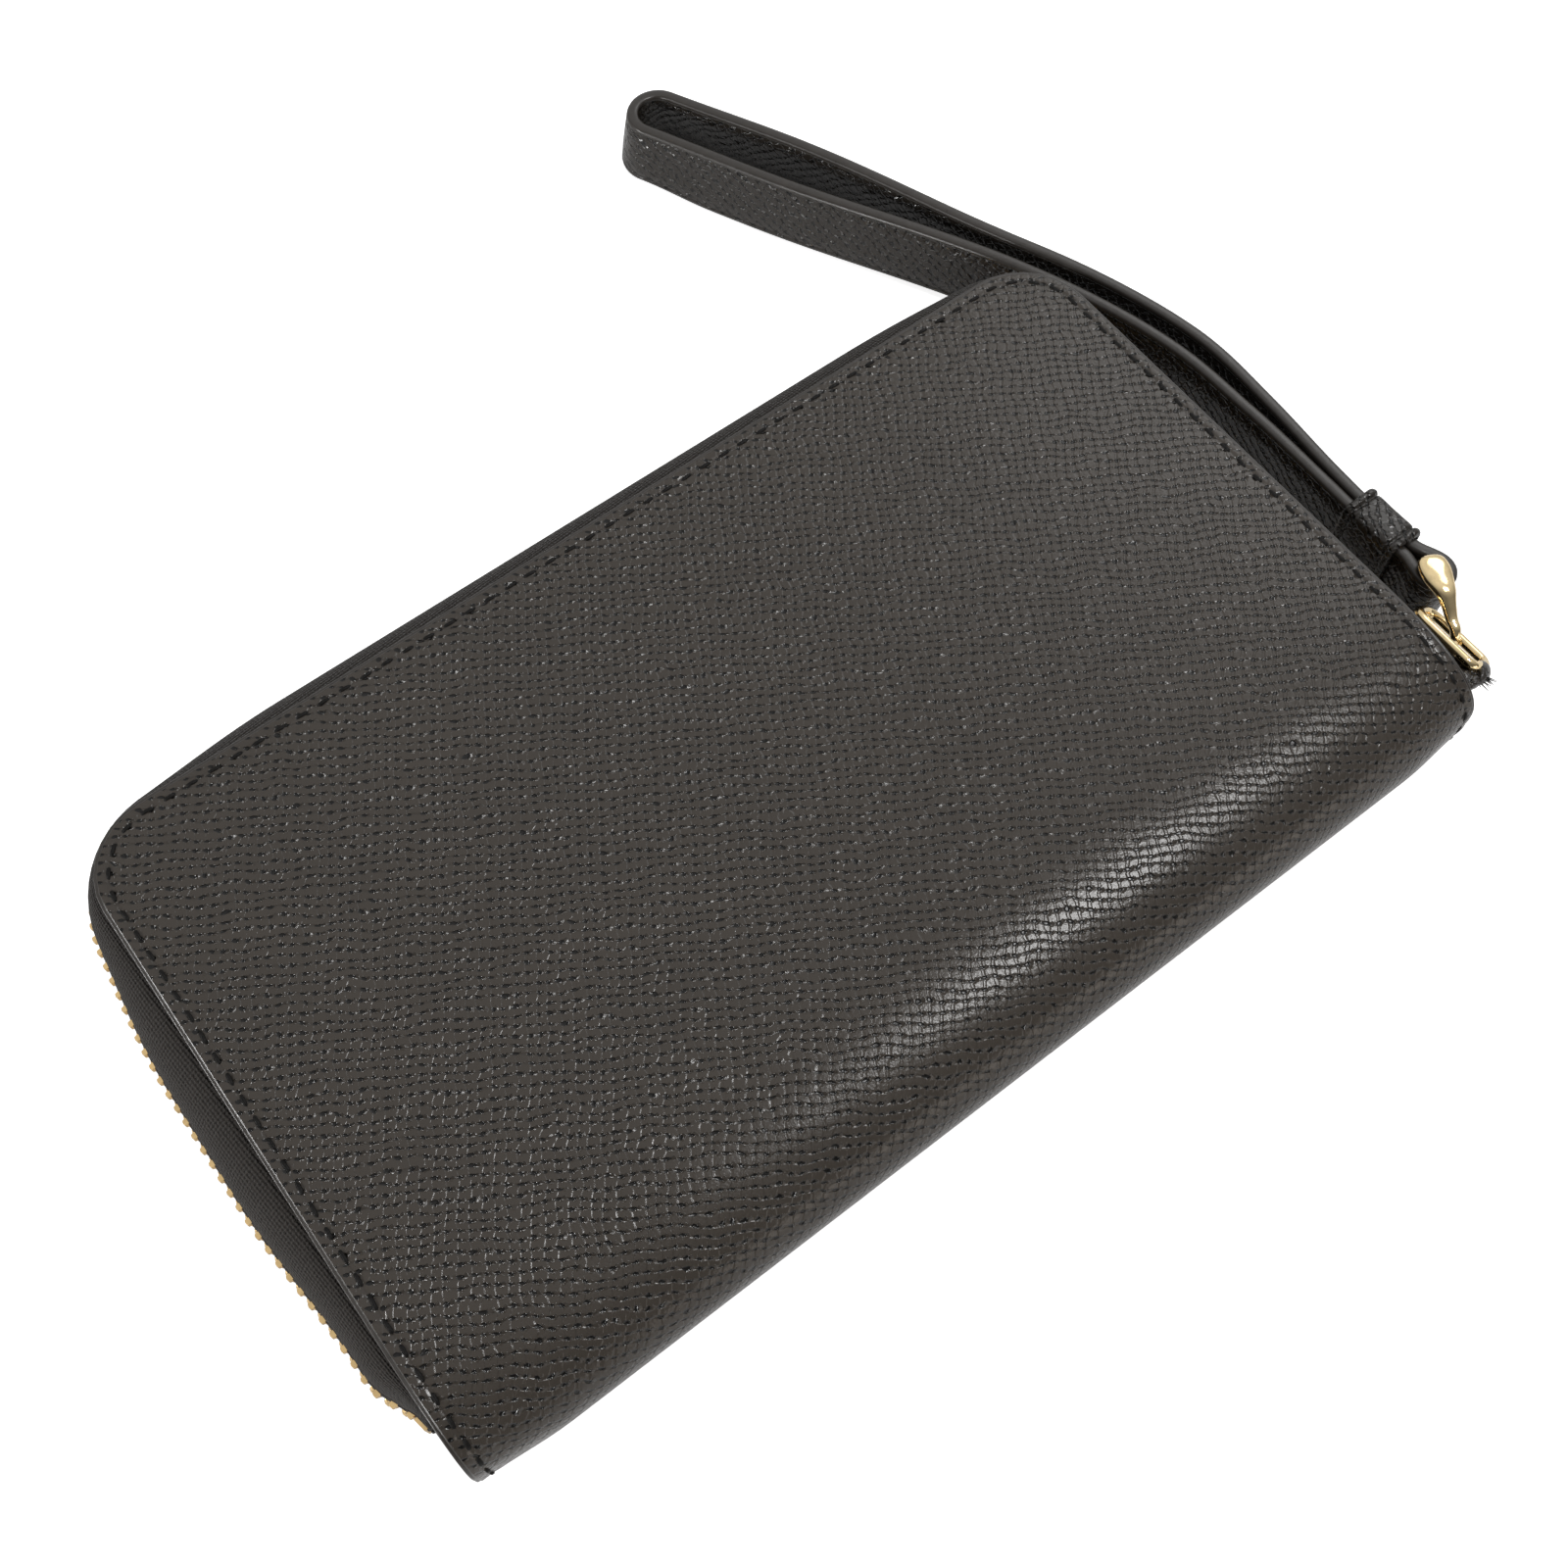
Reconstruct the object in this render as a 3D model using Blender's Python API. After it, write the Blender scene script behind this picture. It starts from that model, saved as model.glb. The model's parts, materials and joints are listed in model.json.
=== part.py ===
"""Zip-around wristlet wallet: two leather covers with a rounded spine, a zip and a wrist strap.

Metres, +Z up. The origin is the middle of the back cover's flat outer face, +X runs along the spine
towards the strap, +Y runs from the spine to the far zip edge.
"""
import math

import bmesh
import bpy
from mathutils import Matrix, Vector

# Overall size
COVER_LENGTH = 0.178
COVER_DEPTH = 0.104
THICKNESS = 0.022
CORNER_RADIUS = 0.012

# Layers of one cover, from the outside in
LEATHER = 0.0014
BOARD = 0.0008
LINING = 0.0006
LAYER_GAP = 0.0002
CLEARANCE = 0.0003
LINING_INSET = 0.001
SQUARE_CORNER = 0.0001
SPINE_STEPS = 8
CORNER_STEPS = 6

# Pockets
LEAF = 0.0008
POCKET_LENGTH = 0.164
POCKET_SPINE_MARGIN = 0.015
CARD_LEAF_COUNT = 3
CARD_LEAF_HEIGHT = 0.072
CARD_LEAF_STEP = 0.010
SLIP_POCKET_HEIGHT = 0.060
POCKET_CORNER = 0.003

# Zip
TAPE = 0.0006
TAPE_SEAM = 0.0055
TAPE_STEPS = 5
ZIP_SPINE_MARGIN = 0.0095
TAPE_LIP = 0.0004
TAPE_ROUNDING = 0.55
BULGE_SIDE = 0.0055
BULGE_CORNER = 0.003
BULGE_SLIDER_SIDE = 0.002
BULGE_END = 0.0006
BULGE_RISE = 0.0037
BULGE_RISE_RUN = 0.010
BULGE_START_RUN = 0.040
BULGE_EASE = 0.024
TOOTH_PITCH = 0.0024
TOOTH_WIDTH = 0.0009
TOOTH_REACH = 0.00055
CHAIN_HALF_DEPTH = 0.001
BEAD_HEIGHT = 0.00105
STOP_LENGTH = 0.002

# Zip slider and pull
SLIDER_LENGTH = 0.011
SLIDER_SPINE_DISTANCE = 0.024
SLIDER_WIDE = 0.0084
SLIDER_NARROW = 0.0070
SLIDER_PLATE = 0.001
SLIDER_FLANGE = 0.0008
SLIDER_SHOULDER = 0.0024
SLIDER_POST_LENGTH = 0.0032
SLIDER_POST_WIDTH = 0.0034
BRIDGE_LENGTH = 0.0076
BRIDGE_WIDTH = 0.0018
BRIDGE_BAR = 0.0008
PULL_PIN = 0.0009
PULL_LENGTH = 0.011
PULL_WIDTH = 0.0040
PULL_ARM = 0.0008

# Ring, its tab and the strap link
RING_WIRE = 0.0015
RING_WIDTH = 0.007
RING_LENGTH = 0.0096
RING_BAR_CORNER = 0.0016
RING_END_CORNER = 0.003
RING_LEAN = math.radians(48)
RING_SPINE_DISTANCE = 0.0069
RING_OUT = 0.0066
RING_HEIGHT = 0.0132
TAB_WALL = 0.0005
TAB_PLY = 0.0010
TAB_INSIDE = 0.009
TAB_HEIGHT = 0.0145
TAB_SPINE_DISTANCE = 0.0045
LINK_HOOK_TURN = math.radians(18)
LINK_ANGLE = math.radians(62)
LINK_REACH = 0.009
LINK_TIP_BEND = 0.0029
LINK_TIP_WIRE = 0.0014
LINK_BAR = 0.0024
LINK_SPOON = 0.005
LINK_FLAT = 0.002
LINK_LOWER_LEG = 0.0016

# Wrist strap
STRAP_WIDTH = 0.0122
STRAP_THICKNESS = 0.0021
STRAP_LIFT = 0.002
STRAP_LOOP_HALF = 0.0047
STRAP_FLARE = 0.0012
STRAP_WAIST_HALF = 0.0023
STRAP_STEPS = 34
STRAP_TURN_STEPS = 8
KEEPER_LENGTH = 0.0107
KEEPER_FROM_BAR = 0.0058
KEEPER_PLY = 0.00095

# Where the middle of the strap lies past its keeper, as steps along +X and +Y from the link bar
STRAP_COURSE = (
    (-0.0006, 0.0110),
    (-0.0003, 0.0230),
    (0.0004, 0.0396),
    (-0.0001, 0.0570),
    (-0.0055, 0.0772),
    (-0.0158, 0.1012),
    (-0.0277, 0.1269),
    (-0.0400, 0.1524),
)

WIRE_SIDES = 8
MIDDLE = THICKNESS / 2
SPINE_LINE = -COVER_DEPTH / 2
FAR_EDGE = COVER_DEPTH / 2
RIGHT_EDGE = COVER_LENGTH / 2
UP = Vector((0, 0, 1))


# Scene helpers

def clear_scene():
    for item in list(bpy.data.objects):
        bpy.data.objects.remove(item, do_unlink=True)


def make_material(name, colour, roughness, metallic=0.0):
    material = bpy.data.materials.new(name)
    material.use_nodes = True
    shader = material.node_tree.nodes["Principled BSDF"]
    shader.inputs["Base Color"].default_value = (*colour, 1.0)
    shader.inputs["Roughness"].default_value = roughness
    shader.inputs["Metallic"].default_value = metallic
    return material


def make_pivot(name, place, parent=None):
    """An empty on a joint's axis; what moves with the joint is parented to it."""
    pivot = bpy.data.objects.new(name, None)
    pivot.empty_display_size = 0.005
    bpy.context.scene.collection.objects.link(pivot)
    pivot.parent = parent
    pivot.location = Vector(place) - (world_place(parent) if parent else Vector())
    return pivot


def world_place(pivot):
    place = Vector()
    while pivot:
        place += pivot.location
        pivot = pivot.parent
    return place


def mesh_from(points, faces):
    """A closed mesh with its faces turned outwards."""
    shape = bmesh.new()
    corners = [shape.verts.new(point) for point in points]
    for face in faces:
        shape.faces.new([corners[index] for index in face])
    bmesh.ops.recalc_face_normals(shape, faces=shape.faces)
    mesh = bpy.data.meshes.new("shape")
    shape.to_mesh(mesh)
    shape.free()
    return mesh


def add_piece(name, mesh, material, pivot=None):
    """Turns a mesh in world places into a named object that hangs on its pivot."""
    mesh.name = name
    if pivot:
        mesh.transform(Matrix.Translation(-world_place(pivot)))
    mesh.materials.clear()
    mesh.materials.append(material)
    mesh.shade_smooth()
    mesh.set_sharp_from_angle(angle=math.radians(35))
    piece = bpy.data.objects.new(name, mesh)
    bpy.context.scene.collection.objects.link(piece)
    piece.parent = pivot
    return piece


def combine(operation, base, others):
    """The union or difference of one mesh with others, as a new mesh."""
    target = bpy.data.objects.new("target", base)
    bpy.context.scene.collection.objects.link(target)
    helpers = []
    for mesh in others:
        helper = bpy.data.objects.new("helper", mesh)
        bpy.context.scene.collection.objects.link(helper)
        step = target.modifiers.new("step", "BOOLEAN")
        step.operation = operation
        step.object = helper
        helpers.append(helper)
    bpy.context.view_layer.update()
    evaluated = target.evaluated_get(bpy.context.evaluated_depsgraph_get())
    result = bpy.data.meshes.new_from_object(evaluated)
    for item in helpers + [target]:
        bpy.data.objects.remove(item, do_unlink=True)
    return result


def fuse(base, *others):
    return combine("UNION", base, others)


def cut(base, *others):
    return combine("DIFFERENCE", base, others)


# Shape helpers

def loft(loops, closed=False):
    """Skins a row of equal point loops; an open row gets end caps."""
    count = len(loops[0])
    points = [point for loop in loops for point in loop]
    spans = len(loops) if closed else len(loops) - 1
    faces = []
    for span in range(spans):
        start = span * count
        other = (span + 1) % len(loops) * count
        for index in range(count):
            following = (index + 1) % count
            faces.append((start + index, start + following, other + following, other + index))
    if not closed:
        faces.append(tuple(range(count)))
        faces.append(tuple(range(len(points) - count, len(points))))
    return mesh_from(points, faces)


def prism(outline, place):
    """A prism over a flat outline: place(a, b, side) gives the point on side 0 or 1."""
    return loft([[place(a, b, side) for a, b in outline] for side in (0, 1)])


def box(low, high):
    outline = ((low[0], low[1]), (high[0], low[1]), (high[0], high[1]), (low[0], high[1]))
    return prism(outline, lambda a, b, side: (a, b, (low[2], high[2])[side]))


def arc(centre, radius, start, end, steps):
    """Points on a circle in the plane, from one angle in degrees to another."""
    angles = [math.radians(start + (end - start) * index / steps) for index in range(steps + 1)]
    return [(centre[0] + radius * math.cos(a), centre[1] + radius * math.sin(a)) for a in angles]


def rounded_rectangle(low, high, radii, steps):
    """Outline with its own radius at the low-low, high-low, high-high and low-high corner."""
    outline = []
    (left, near), (right, far) = low, high
    corners = ((left, near, 180), (right, near, 270), (right, far, 0), (left, far, 90))
    for (a, b, start), radius in zip(corners, radii):
        centre = (a + radius * (1 if a == left else -1), b + radius * (1 if b == near else -1))
        outline += arc(centre, radius, start, start + 90, steps)
    return outline


def ellipse_loop(centre, across, along, width, height, sides=WIRE_SIDES):
    """A loop of points round a path, width measured on one direction and height on the other."""
    loop = []
    for index in range(sides):
        angle = 2 * math.pi * (index + 0.5) / sides
        a, b = width / 2 * math.cos(angle), height / 2 * math.sin(angle)
        loop.append(centre + across * a + along * b)
    return loop


def smooth_curve(points, count):
    """Points spread along a smooth curve that passes through the given ones."""
    ends = [points[0] * 2 - points[1]] + list(points) + [points[-1] * 2 - points[-2]]
    curve = []
    for index in range(count + 1):
        at = index / count * (len(points) - 1)
        span = min(int(at), len(points) - 2)
        t = at - span
        p0, p1, p2, p3 = ends[span:span + 4]
        curve.append(
            0.5 * (2 * p1 + (p2 - p0) * t + (2 * p0 - 5 * p1 + 4 * p2 - p3) * t ** 2
                   + (3 * p1 - p0 - 3 * p2 + p3) * t ** 3)
        )
    return curve


def ease(keys, at):
    """Smooth value between (distance, value) keys."""
    for (near, first), (far, second) in zip(keys, keys[1:]):
        if at <= far:
            share = max(0.0, (at - near) / (far - near))
            return first + (second - first) * (1 - math.cos(math.pi * share)) / 2
    return keys[-1][1]


def facing(front, z):
    """Height of a point given for the front half; the back half is its mirror image."""
    return z if front else THICKNESS - z


# Covers

def cover_outline(inset, spine_side):
    """Outline of a flat layer: square towards the spine, round at the far corners."""
    radius = CORNER_RADIUS - inset
    return rounded_rectangle(
        (-RIGHT_EDGE + inset, spine_side), (RIGHT_EDGE - inset, FAR_EDGE - inset),
        (SQUARE_CORNER, SQUARE_CORNER, radius, radius), CORNER_STEPS,
    )


def skin_point(along, depth):
    """Place of a point on a cover's hide, by its distance from the spine line and its depth inside."""
    bend = math.pi / 2 * MIDDLE
    if along < bend:
        angle, radius = along / MIDDLE, MIDDLE - depth
        return SPINE_LINE + MIDDLE - radius * math.cos(angle), MIDDLE + radius * math.sin(angle)
    return SPINE_LINE + MIDDLE + along - bend, THICKNESS - depth


def hide_mesh(front):
    """One half of the leather wrap: a quarter-round spine and a flat panel, in one thickness."""
    bend = math.pi / 2 * MIDDLE
    first = CLEARANCE / 2
    stations = [first + (bend - first) * index / SPINE_STEPS for index in range(SPINE_STEPS + 1)]
    end = bend + COVER_DEPTH - MIDDLE
    turn = (RIGHT_EDGE - CORNER_RADIUS, end - CORNER_RADIUS)
    right_turn = arc(turn, CORNER_RADIUS, 0, 90, CORNER_STEPS)
    left_turn = [(-x, along) for x, along in reversed(right_turn)]
    right = [(RIGHT_EDGE, along) for along in stations]
    left = [(-RIGHT_EDGE, along) for along in stations]
    rim = right + right_turn + left_turn + list(reversed(left))
    points = []
    for depth in (0, LEATHER):
        for x, along in rim:
            y, z = skin_point(along, depth)
            points.append((x, y, facing(front, z)))
    count = len(rim)
    faces = [(i, (i + 1) % count, (i + 1) % count + count, i + count) for i in range(count)]
    for side in (0, count):
        for step in range(SPINE_STEPS):
            across = count - 1 - step
            faces.append((side + step, side + step + 1, side + across - 1, side + across))
        faces.append(tuple(range(side + SPINE_STEPS, side + count - SPINE_STEPS)))
    return mesh_from(points, faces)


def layer_mesh(front, outline, depth, thickness):
    """A flat layer that lies at a depth under the outer face of its cover."""
    return prism(outline, lambda a, b, side: (a, b, facing(front, THICKNESS - depth - thickness * side)))


BOARD_DEPTH = LEATHER + LAYER_GAP
LINING_DEPTH = BOARD_DEPTH + BOARD + LAYER_GAP
POCKET_DEPTH = LINING_DEPTH + LINING + LAYER_GAP
FLAT_START = SPINE_LINE + MIDDLE


def add_cover(side, front, leather, board, lining, pivot):
    add_piece(side + "_leather", hide_mesh(front), leather, pivot)
    stiffener = cover_outline(TAPE_SEAM + CLEARANCE, FLAT_START)
    add_piece(side + "_board", layer_mesh(front, stiffener, BOARD_DEPTH, BOARD), board, pivot)
    inner = cover_outline(LINING_INSET, FLAT_START)
    add_piece(side + "_lining", layer_mesh(front, inner, LINING_DEPTH, LINING), lining, pivot)


def pocket_outline(height):
    low = (-POCKET_LENGTH / 2, SPINE_LINE + POCKET_SPINE_MARGIN)
    high = (POCKET_LENGTH / 2, SPINE_LINE + POCKET_SPINE_MARGIN + height)
    return rounded_rectangle(low, high, (SQUARE_CORNER, SQUARE_CORNER, POCKET_CORNER, POCKET_CORNER), 3)


def add_pockets(lining, leather, front_pivot):
    for index in range(CARD_LEAF_COUNT):
        outline = pocket_outline(CARD_LEAF_HEIGHT - index * CARD_LEAF_STEP)
        depth = POCKET_DEPTH + index * (LEAF + LAYER_GAP)
        add_piece("card_pocket_%d" % (index + 1), layer_mesh(False, outline, depth, LEAF), leather)
    slip = layer_mesh(True, pocket_outline(SLIP_POCKET_HEIGHT), POCKET_DEPTH, LEAF)
    add_piece("slip_pocket", slip, lining, front_pivot)


# Zip course round three sides

SIDE_RUN = FAR_EDGE - CORNER_RADIUS - (SPINE_LINE + ZIP_SPINE_MARGIN)
FAR_RUN = COVER_LENGTH - 2 * CORNER_RADIUS
CORNER_RUN = math.pi / 2 * (CORNER_RADIUS + BULGE_SIDE)
ZIP_RUN = 2 * SIDE_RUN + FAR_RUN + 2 * CORNER_RUN
SLIDER_PLACE = SPINE_LINE + SLIDER_SPINE_DISTANCE
SLIDER_CENTRE = SLIDER_PLACE + SLIDER_LENGTH / 2
POST_END = SLIDER_PLACE + CLEARANCE + SLIDER_POST_LENGTH
CHAIN_END = ZIP_RUN - (POST_END + CLEARANCE - SPINE_LINE - ZIP_SPINE_MARGIN)

BULGE_KEYS = (
    (0, BULGE_END),
    (BULGE_RISE_RUN, BULGE_RISE),
    (BULGE_START_RUN, BULGE_SIDE),
    (SIDE_RUN - BULGE_EASE, BULGE_SIDE),
    (SIDE_RUN + CORNER_RUN / 2, BULGE_CORNER),
    (SIDE_RUN + CORNER_RUN + BULGE_EASE, BULGE_SIDE),
    (SIDE_RUN + CORNER_RUN + FAR_RUN - BULGE_EASE, BULGE_SIDE),
    (SIDE_RUN + 2 * CORNER_RUN + FAR_RUN, BULGE_SLIDER_SIDE),
)


def zip_frame(run):
    """Place on the cover's edge and the outward direction, by the distance along the zip."""
    corner_y = FAR_EDGE - CORNER_RADIUS
    corner_x = RIGHT_EDGE - CORNER_RADIUS
    if run < SIDE_RUN:
        return Vector((-RIGHT_EDGE, corner_y - SIDE_RUN + run)), Vector((-1, 0))
    run -= SIDE_RUN
    if run < CORNER_RUN:
        angle = math.pi - math.pi / 2 * run / CORNER_RUN
        out = Vector((math.cos(angle), math.sin(angle)))
        return Vector((-corner_x, corner_y)) + out * CORNER_RADIUS, out
    run -= CORNER_RUN
    if run < FAR_RUN:
        return Vector((-corner_x + run, FAR_EDGE)), Vector((0, 1))
    run -= FAR_RUN
    if run < CORNER_RUN:
        angle = math.pi / 2 - math.pi / 2 * run / CORNER_RUN
        out = Vector((math.cos(angle), math.sin(angle)))
        return Vector((corner_x, corner_y)) + out * CORNER_RADIUS, out
    run -= CORNER_RUN
    return Vector((RIGHT_EDGE, corner_y - run)), Vector((1, 0))


def zip_point(run, out, z, front):
    """World place of a point given by its distance along the zip, outward offset and height."""
    edge, direction = zip_frame(run)
    place = edge + direction * out
    return (place.x, place.y, facing(front, z))


CHAIN_GAP_LEVEL = MIDDLE + TOOTH_REACH + CLEARANCE
CHAIN_TOP = CHAIN_GAP_LEVEL + BEAD_HEIGHT
TAPE_END = CHAIN_TOP + CLEARANCE
TAPE_LEVEL = THICKNESS - (LEATHER + LINING_DEPTH) / 2


def tape_profile(bulge):
    """Section of the upper tape: flat under the cover's edge, then rolling out and down to the chain."""
    start = Vector((-TAPE_LIP, TAPE_LEVEL))
    end = Vector((bulge, TAPE_END))
    lead = Vector((TAPE_ROUNDING * (bulge + TAPE_LIP) - TAPE_LIP, TAPE_LEVEL))
    trail = Vector((bulge, TAPE_END + TAPE_ROUNDING * (TAPE_LEVEL - TAPE_END)))
    middle = [Vector((-TAPE_SEAM, TAPE_LEVEL))]
    for index in range(TAPE_STEPS + 1):
        t = index / TAPE_STEPS
        u = 1 - t
        middle.append(start * u ** 3 + lead * (3 * t * u * u) + trail * (3 * t * t * u) + end * t ** 3)
    outer, inner = [], []
    for index, point in enumerate(middle):
        direction = middle[min(index + 1, len(middle) - 1)] - middle[max(index - 1, 0)]
        side = Vector((-direction.y, direction.x)).normalized() * (TAPE / 2)
        outer.append(point + side)
        inner.append(point - side)
    return outer + inner[::-1]


def tape_mesh(front):
    stations = []
    for start, length, parts in (
        (0, BULGE_RISE_RUN, 3),
        (BULGE_RISE_RUN, BULGE_START_RUN - BULGE_RISE_RUN, 3),
        (BULGE_START_RUN, SIDE_RUN - BULGE_EASE - BULGE_START_RUN, 1),
        (SIDE_RUN - BULGE_EASE, BULGE_EASE, 3),
        (SIDE_RUN, CORNER_RUN, 7),
        (SIDE_RUN + CORNER_RUN, BULGE_EASE, 3),
        (SIDE_RUN + CORNER_RUN + FAR_RUN - BULGE_EASE, BULGE_EASE, 3),
        (SIDE_RUN + CORNER_RUN + FAR_RUN, CORNER_RUN, 7),
    ):
        stations += [start + length * index / parts for index in range(parts)]
    stations += [ZIP_RUN - SIDE_RUN, ZIP_RUN]
    loops = []
    for run in stations:
        profile = tape_profile(ease(BULGE_KEYS, run))
        loops.append([zip_point(run, point.x, point.y, front) for point in profile])
    return loft(loops)


def chain_mesh(front, first):
    """A bead with square teeth along the tape's edge; the other row's teeth fill the gaps."""
    count = int((CHAIN_END - first) / TOOTH_PITCH)
    tip = MIDDLE - TOOTH_REACH
    points, faces = [], []

    def pair(run, z):
        """Adds the outer and inner point at a place on the chain and returns the first one's number."""
        bulge = ease(BULGE_KEYS, run)
        points.append(zip_point(run, bulge + CHAIN_HALF_DEPTH, z, front))
        points.append(zip_point(run, bulge - CHAIN_HALF_DEPTH, z, front))
        return len(points) - 2

    def strip(a, b):
        faces.append((a, b, b + 1, a + 1))

    top = pair(first, CHAIN_TOP)
    gap = pair(first, CHAIN_GAP_LEVEL)
    strip(top, gap)
    for index in range(count):
        start = first + index * TOOTH_PITCH
        root = pair(start, tip)
        nose = pair(start + TOOTH_WIDTH, tip)
        heel = pair(start + TOOTH_WIDTH, CHAIN_GAP_LEVEL)
        next_gap = pair(start + TOOTH_PITCH, CHAIN_GAP_LEVEL)
        next_top = pair(start + TOOTH_PITCH, CHAIN_TOP)
        for low, high in ((gap, root), (root, nose), (nose, heel), (heel, next_gap), (next_top, top)):
            strip(low, high)
        faces.append((top, gap, root, nose, heel, next_gap, next_top))
        faces.append(tuple(number + 1 for number in (top, next_top, next_gap, heel, nose, root, gap)))
        top, gap = next_top, next_gap
    strip(gap, top)
    return mesh_from(points, faces)


def stop_mesh(run, low, high, front=True):
    """A small metal stop crimped across the chain's line, given by its heights."""
    loops = []
    for at in (run, run + STOP_LENGTH):
        bulge = ease(BULGE_KEYS, at)
        corners = ((1, low), (1, high), (-1, high), (-1, low))
        loops.append([zip_point(at, bulge + side * CHAIN_HALF_DEPTH, z, front) for side, z in corners])
    return loft(loops)


def add_zip(tape, brass, front_pivot):
    first_tooth = STOP_LENGTH + 2 * CLEARANCE
    top_stop = ZIP_RUN - (SLIDER_PLACE - CLEARANCE - SPINE_LINE - ZIP_SPINE_MARGIN)
    halves = ((True, "upper", front_pivot, 0), (False, "lower", None, TOOTH_PITCH / 2))
    for front, side, pivot, shift in halves:
        add_piece(side + "_zip_tape", tape_mesh(front), tape, pivot)
        add_piece(side + "_zip_chain", chain_mesh(front, first_tooth + shift), brass, pivot)
        stop = stop_mesh(top_stop, CHAIN_GAP_LEVEL, CHAIN_TOP, front)
        add_piece(side + "_top_stop", stop, brass, pivot)
    add_piece("zip_end_stop", stop_mesh(CLEARANCE, THICKNESS - CHAIN_TOP, CHAIN_TOP), brass)


# Slider and pull on the right side

SLIDER_LINE = RIGHT_EDGE + BULGE_SLIDER_SIDE
PLATE_START = CHAIN_HALF_DEPTH + CLEARANCE
PLATE_END = PLATE_START + SLIDER_PLATE
BRIDGE_ROOM = PULL_PIN + 2 * CLEARANCE
BRIDGE_TOP = PLATE_END + BRIDGE_ROOM + BRIDGE_BAR
PIN_OUT = PLATE_END + CLEARANCE + PULL_PIN / 2
PIN_PLACE = SLIDER_CENTRE + BRIDGE_LENGTH / 2 - 2.4 * BRIDGE_BAR - PULL_PIN / 2


def slider_plate(near, far):
    """A shield-shaped plate between two offsets from the chain's line, wide at the spine end."""
    wide, narrow = SLIDER_WIDE / 2, SLIDER_NARROW / 2
    back, front = SLIDER_PLACE, SLIDER_PLACE + SLIDER_LENGTH
    shoulder = SLIDER_SHOULDER
    half = [
        (back, 0.45 * wide),
        (back + 0.35 * shoulder, 0.82 * wide),
        (back + shoulder, wide),
        (front - shoulder, narrow),
        (front - 0.3 * shoulder, 0.9 * narrow),
        (front, 0.6 * narrow),
    ]
    outline = half + [(y, -z) for y, z in reversed(half)]
    return prism(outline, lambda y, z, side: (SLIDER_LINE + (near, far)[side], y, MIDDLE + z))


def slider_mesh():
    """Two plates with inward flanges, held apart by the wedge post, with the pull's bridge outside."""
    overlap = SLIDER_PLATE / 2
    body = slider_plate(PLATE_START, PLATE_END)
    parts = [slider_plate(-PLATE_END, -PLATE_START)]
    flange_low = SLIDER_PLACE + SLIDER_SHOULDER
    flange_high = SLIDER_PLACE + SLIDER_LENGTH - SLIDER_SHOULDER
    lip = TAPE / 2 + CLEARANCE
    for side in (1, -1):
        for z_side in (1, -1):
            low = MIDDLE + z_side * (SLIDER_NARROW / 2 - SLIDER_FLANGE)
            high = MIDDLE + z_side * SLIDER_NARROW / 2
            ends = sorted((SLIDER_LINE + side * lip, SLIDER_LINE + side * (PLATE_START + overlap)))
            heights = sorted((low, high))
            parts.append(box((ends[0], flange_low, heights[0]), (ends[1], flange_high, heights[1])))
    post = [
        (SLIDER_PLACE + CLEARANCE, 0),
        (SLIDER_PLACE + CLEARANCE + 0.4 * SLIDER_POST_LENGTH, SLIDER_POST_WIDTH / 2),
        (POST_END, 0),
        (SLIDER_PLACE + CLEARANCE + 0.4 * SLIDER_POST_LENGTH, -SLIDER_POST_WIDTH / 2),
    ]
    reach = PLATE_START + overlap
    parts.append(prism(post, lambda y, z, side: (SLIDER_LINE + (-reach, reach)[side], y, MIDDLE + z)))
    half, foot = BRIDGE_LENGTH / 2, PLATE_END - overlap
    room, top = PLATE_END + BRIDGE_ROOM, BRIDGE_TOP
    arch = [
        (-half, foot), (-half + BRIDGE_BAR, top), (half - BRIDGE_BAR, top), (half, foot),
        (half - 1.2 * BRIDGE_BAR, foot), (half - 2 * BRIDGE_BAR, room),
        (-half + 2 * BRIDGE_BAR, room), (-half + 1.2 * BRIDGE_BAR, foot),
    ]
    parts.append(prism(arch, lambda y, out, side: (
        SLIDER_LINE + out, SLIDER_CENTRE + y, MIDDLE + (side - 0.5) * BRIDGE_WIDTH)))
    return fuse(body, *parts)


def pull_mesh():
    """A flat tab whose end frames the bridge, with the pin that runs under it."""
    frame_end = SLIDER_CENTRE + BRIDGE_LENGTH / 2 + 2 * CLEARANCE
    tab_end = frame_end + PULL_LENGTH
    near, far = PIN_OUT - PULL_PIN / 2, PIN_OUT + PULL_PIN / 2
    low = (PIN_PLACE - PULL_PIN / 2, -PULL_WIDTH / 2)
    high = (tab_end, PULL_WIDTH / 2)
    pin_corner, tip_corner = PULL_PIN / 2, PULL_WIDTH / 3
    outline = rounded_rectangle(low, high, (pin_corner, tip_corner, tip_corner, pin_corner), 4)
    tab = prism(outline, lambda y, z, side: (SLIDER_LINE + (near, far)[side], y, MIDDLE + z))
    window_half = PULL_WIDTH / 2 - PULL_ARM
    window = box(
        (SLIDER_LINE + near - CLEARANCE, PIN_PLACE + PULL_PIN / 2, MIDDLE - window_half),
        (SLIDER_LINE + far + CLEARANCE, frame_end, MIDDLE + window_half),
    )
    return cut(tab, window)


# Ring, tab, link

RING_AXIS = Vector((math.sin(RING_LEAN), 0, -math.cos(RING_LEAN)))
RING_BAR_PLACE = Vector((RIGHT_EDGE + RING_OUT, SPINE_LINE + RING_SPINE_DISTANCE, RING_HEIGHT))
HOOK = RING_BAR_PLACE + RING_AXIS * (
    RING_WIDTH / 2 - RING_END_CORNER * (1 - math.cos(LINK_HOOK_TURN))
) + Vector((0, RING_LENGTH - RING_END_CORNER * (1 - math.sin(LINK_HOOK_TURN)), 0))


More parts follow.
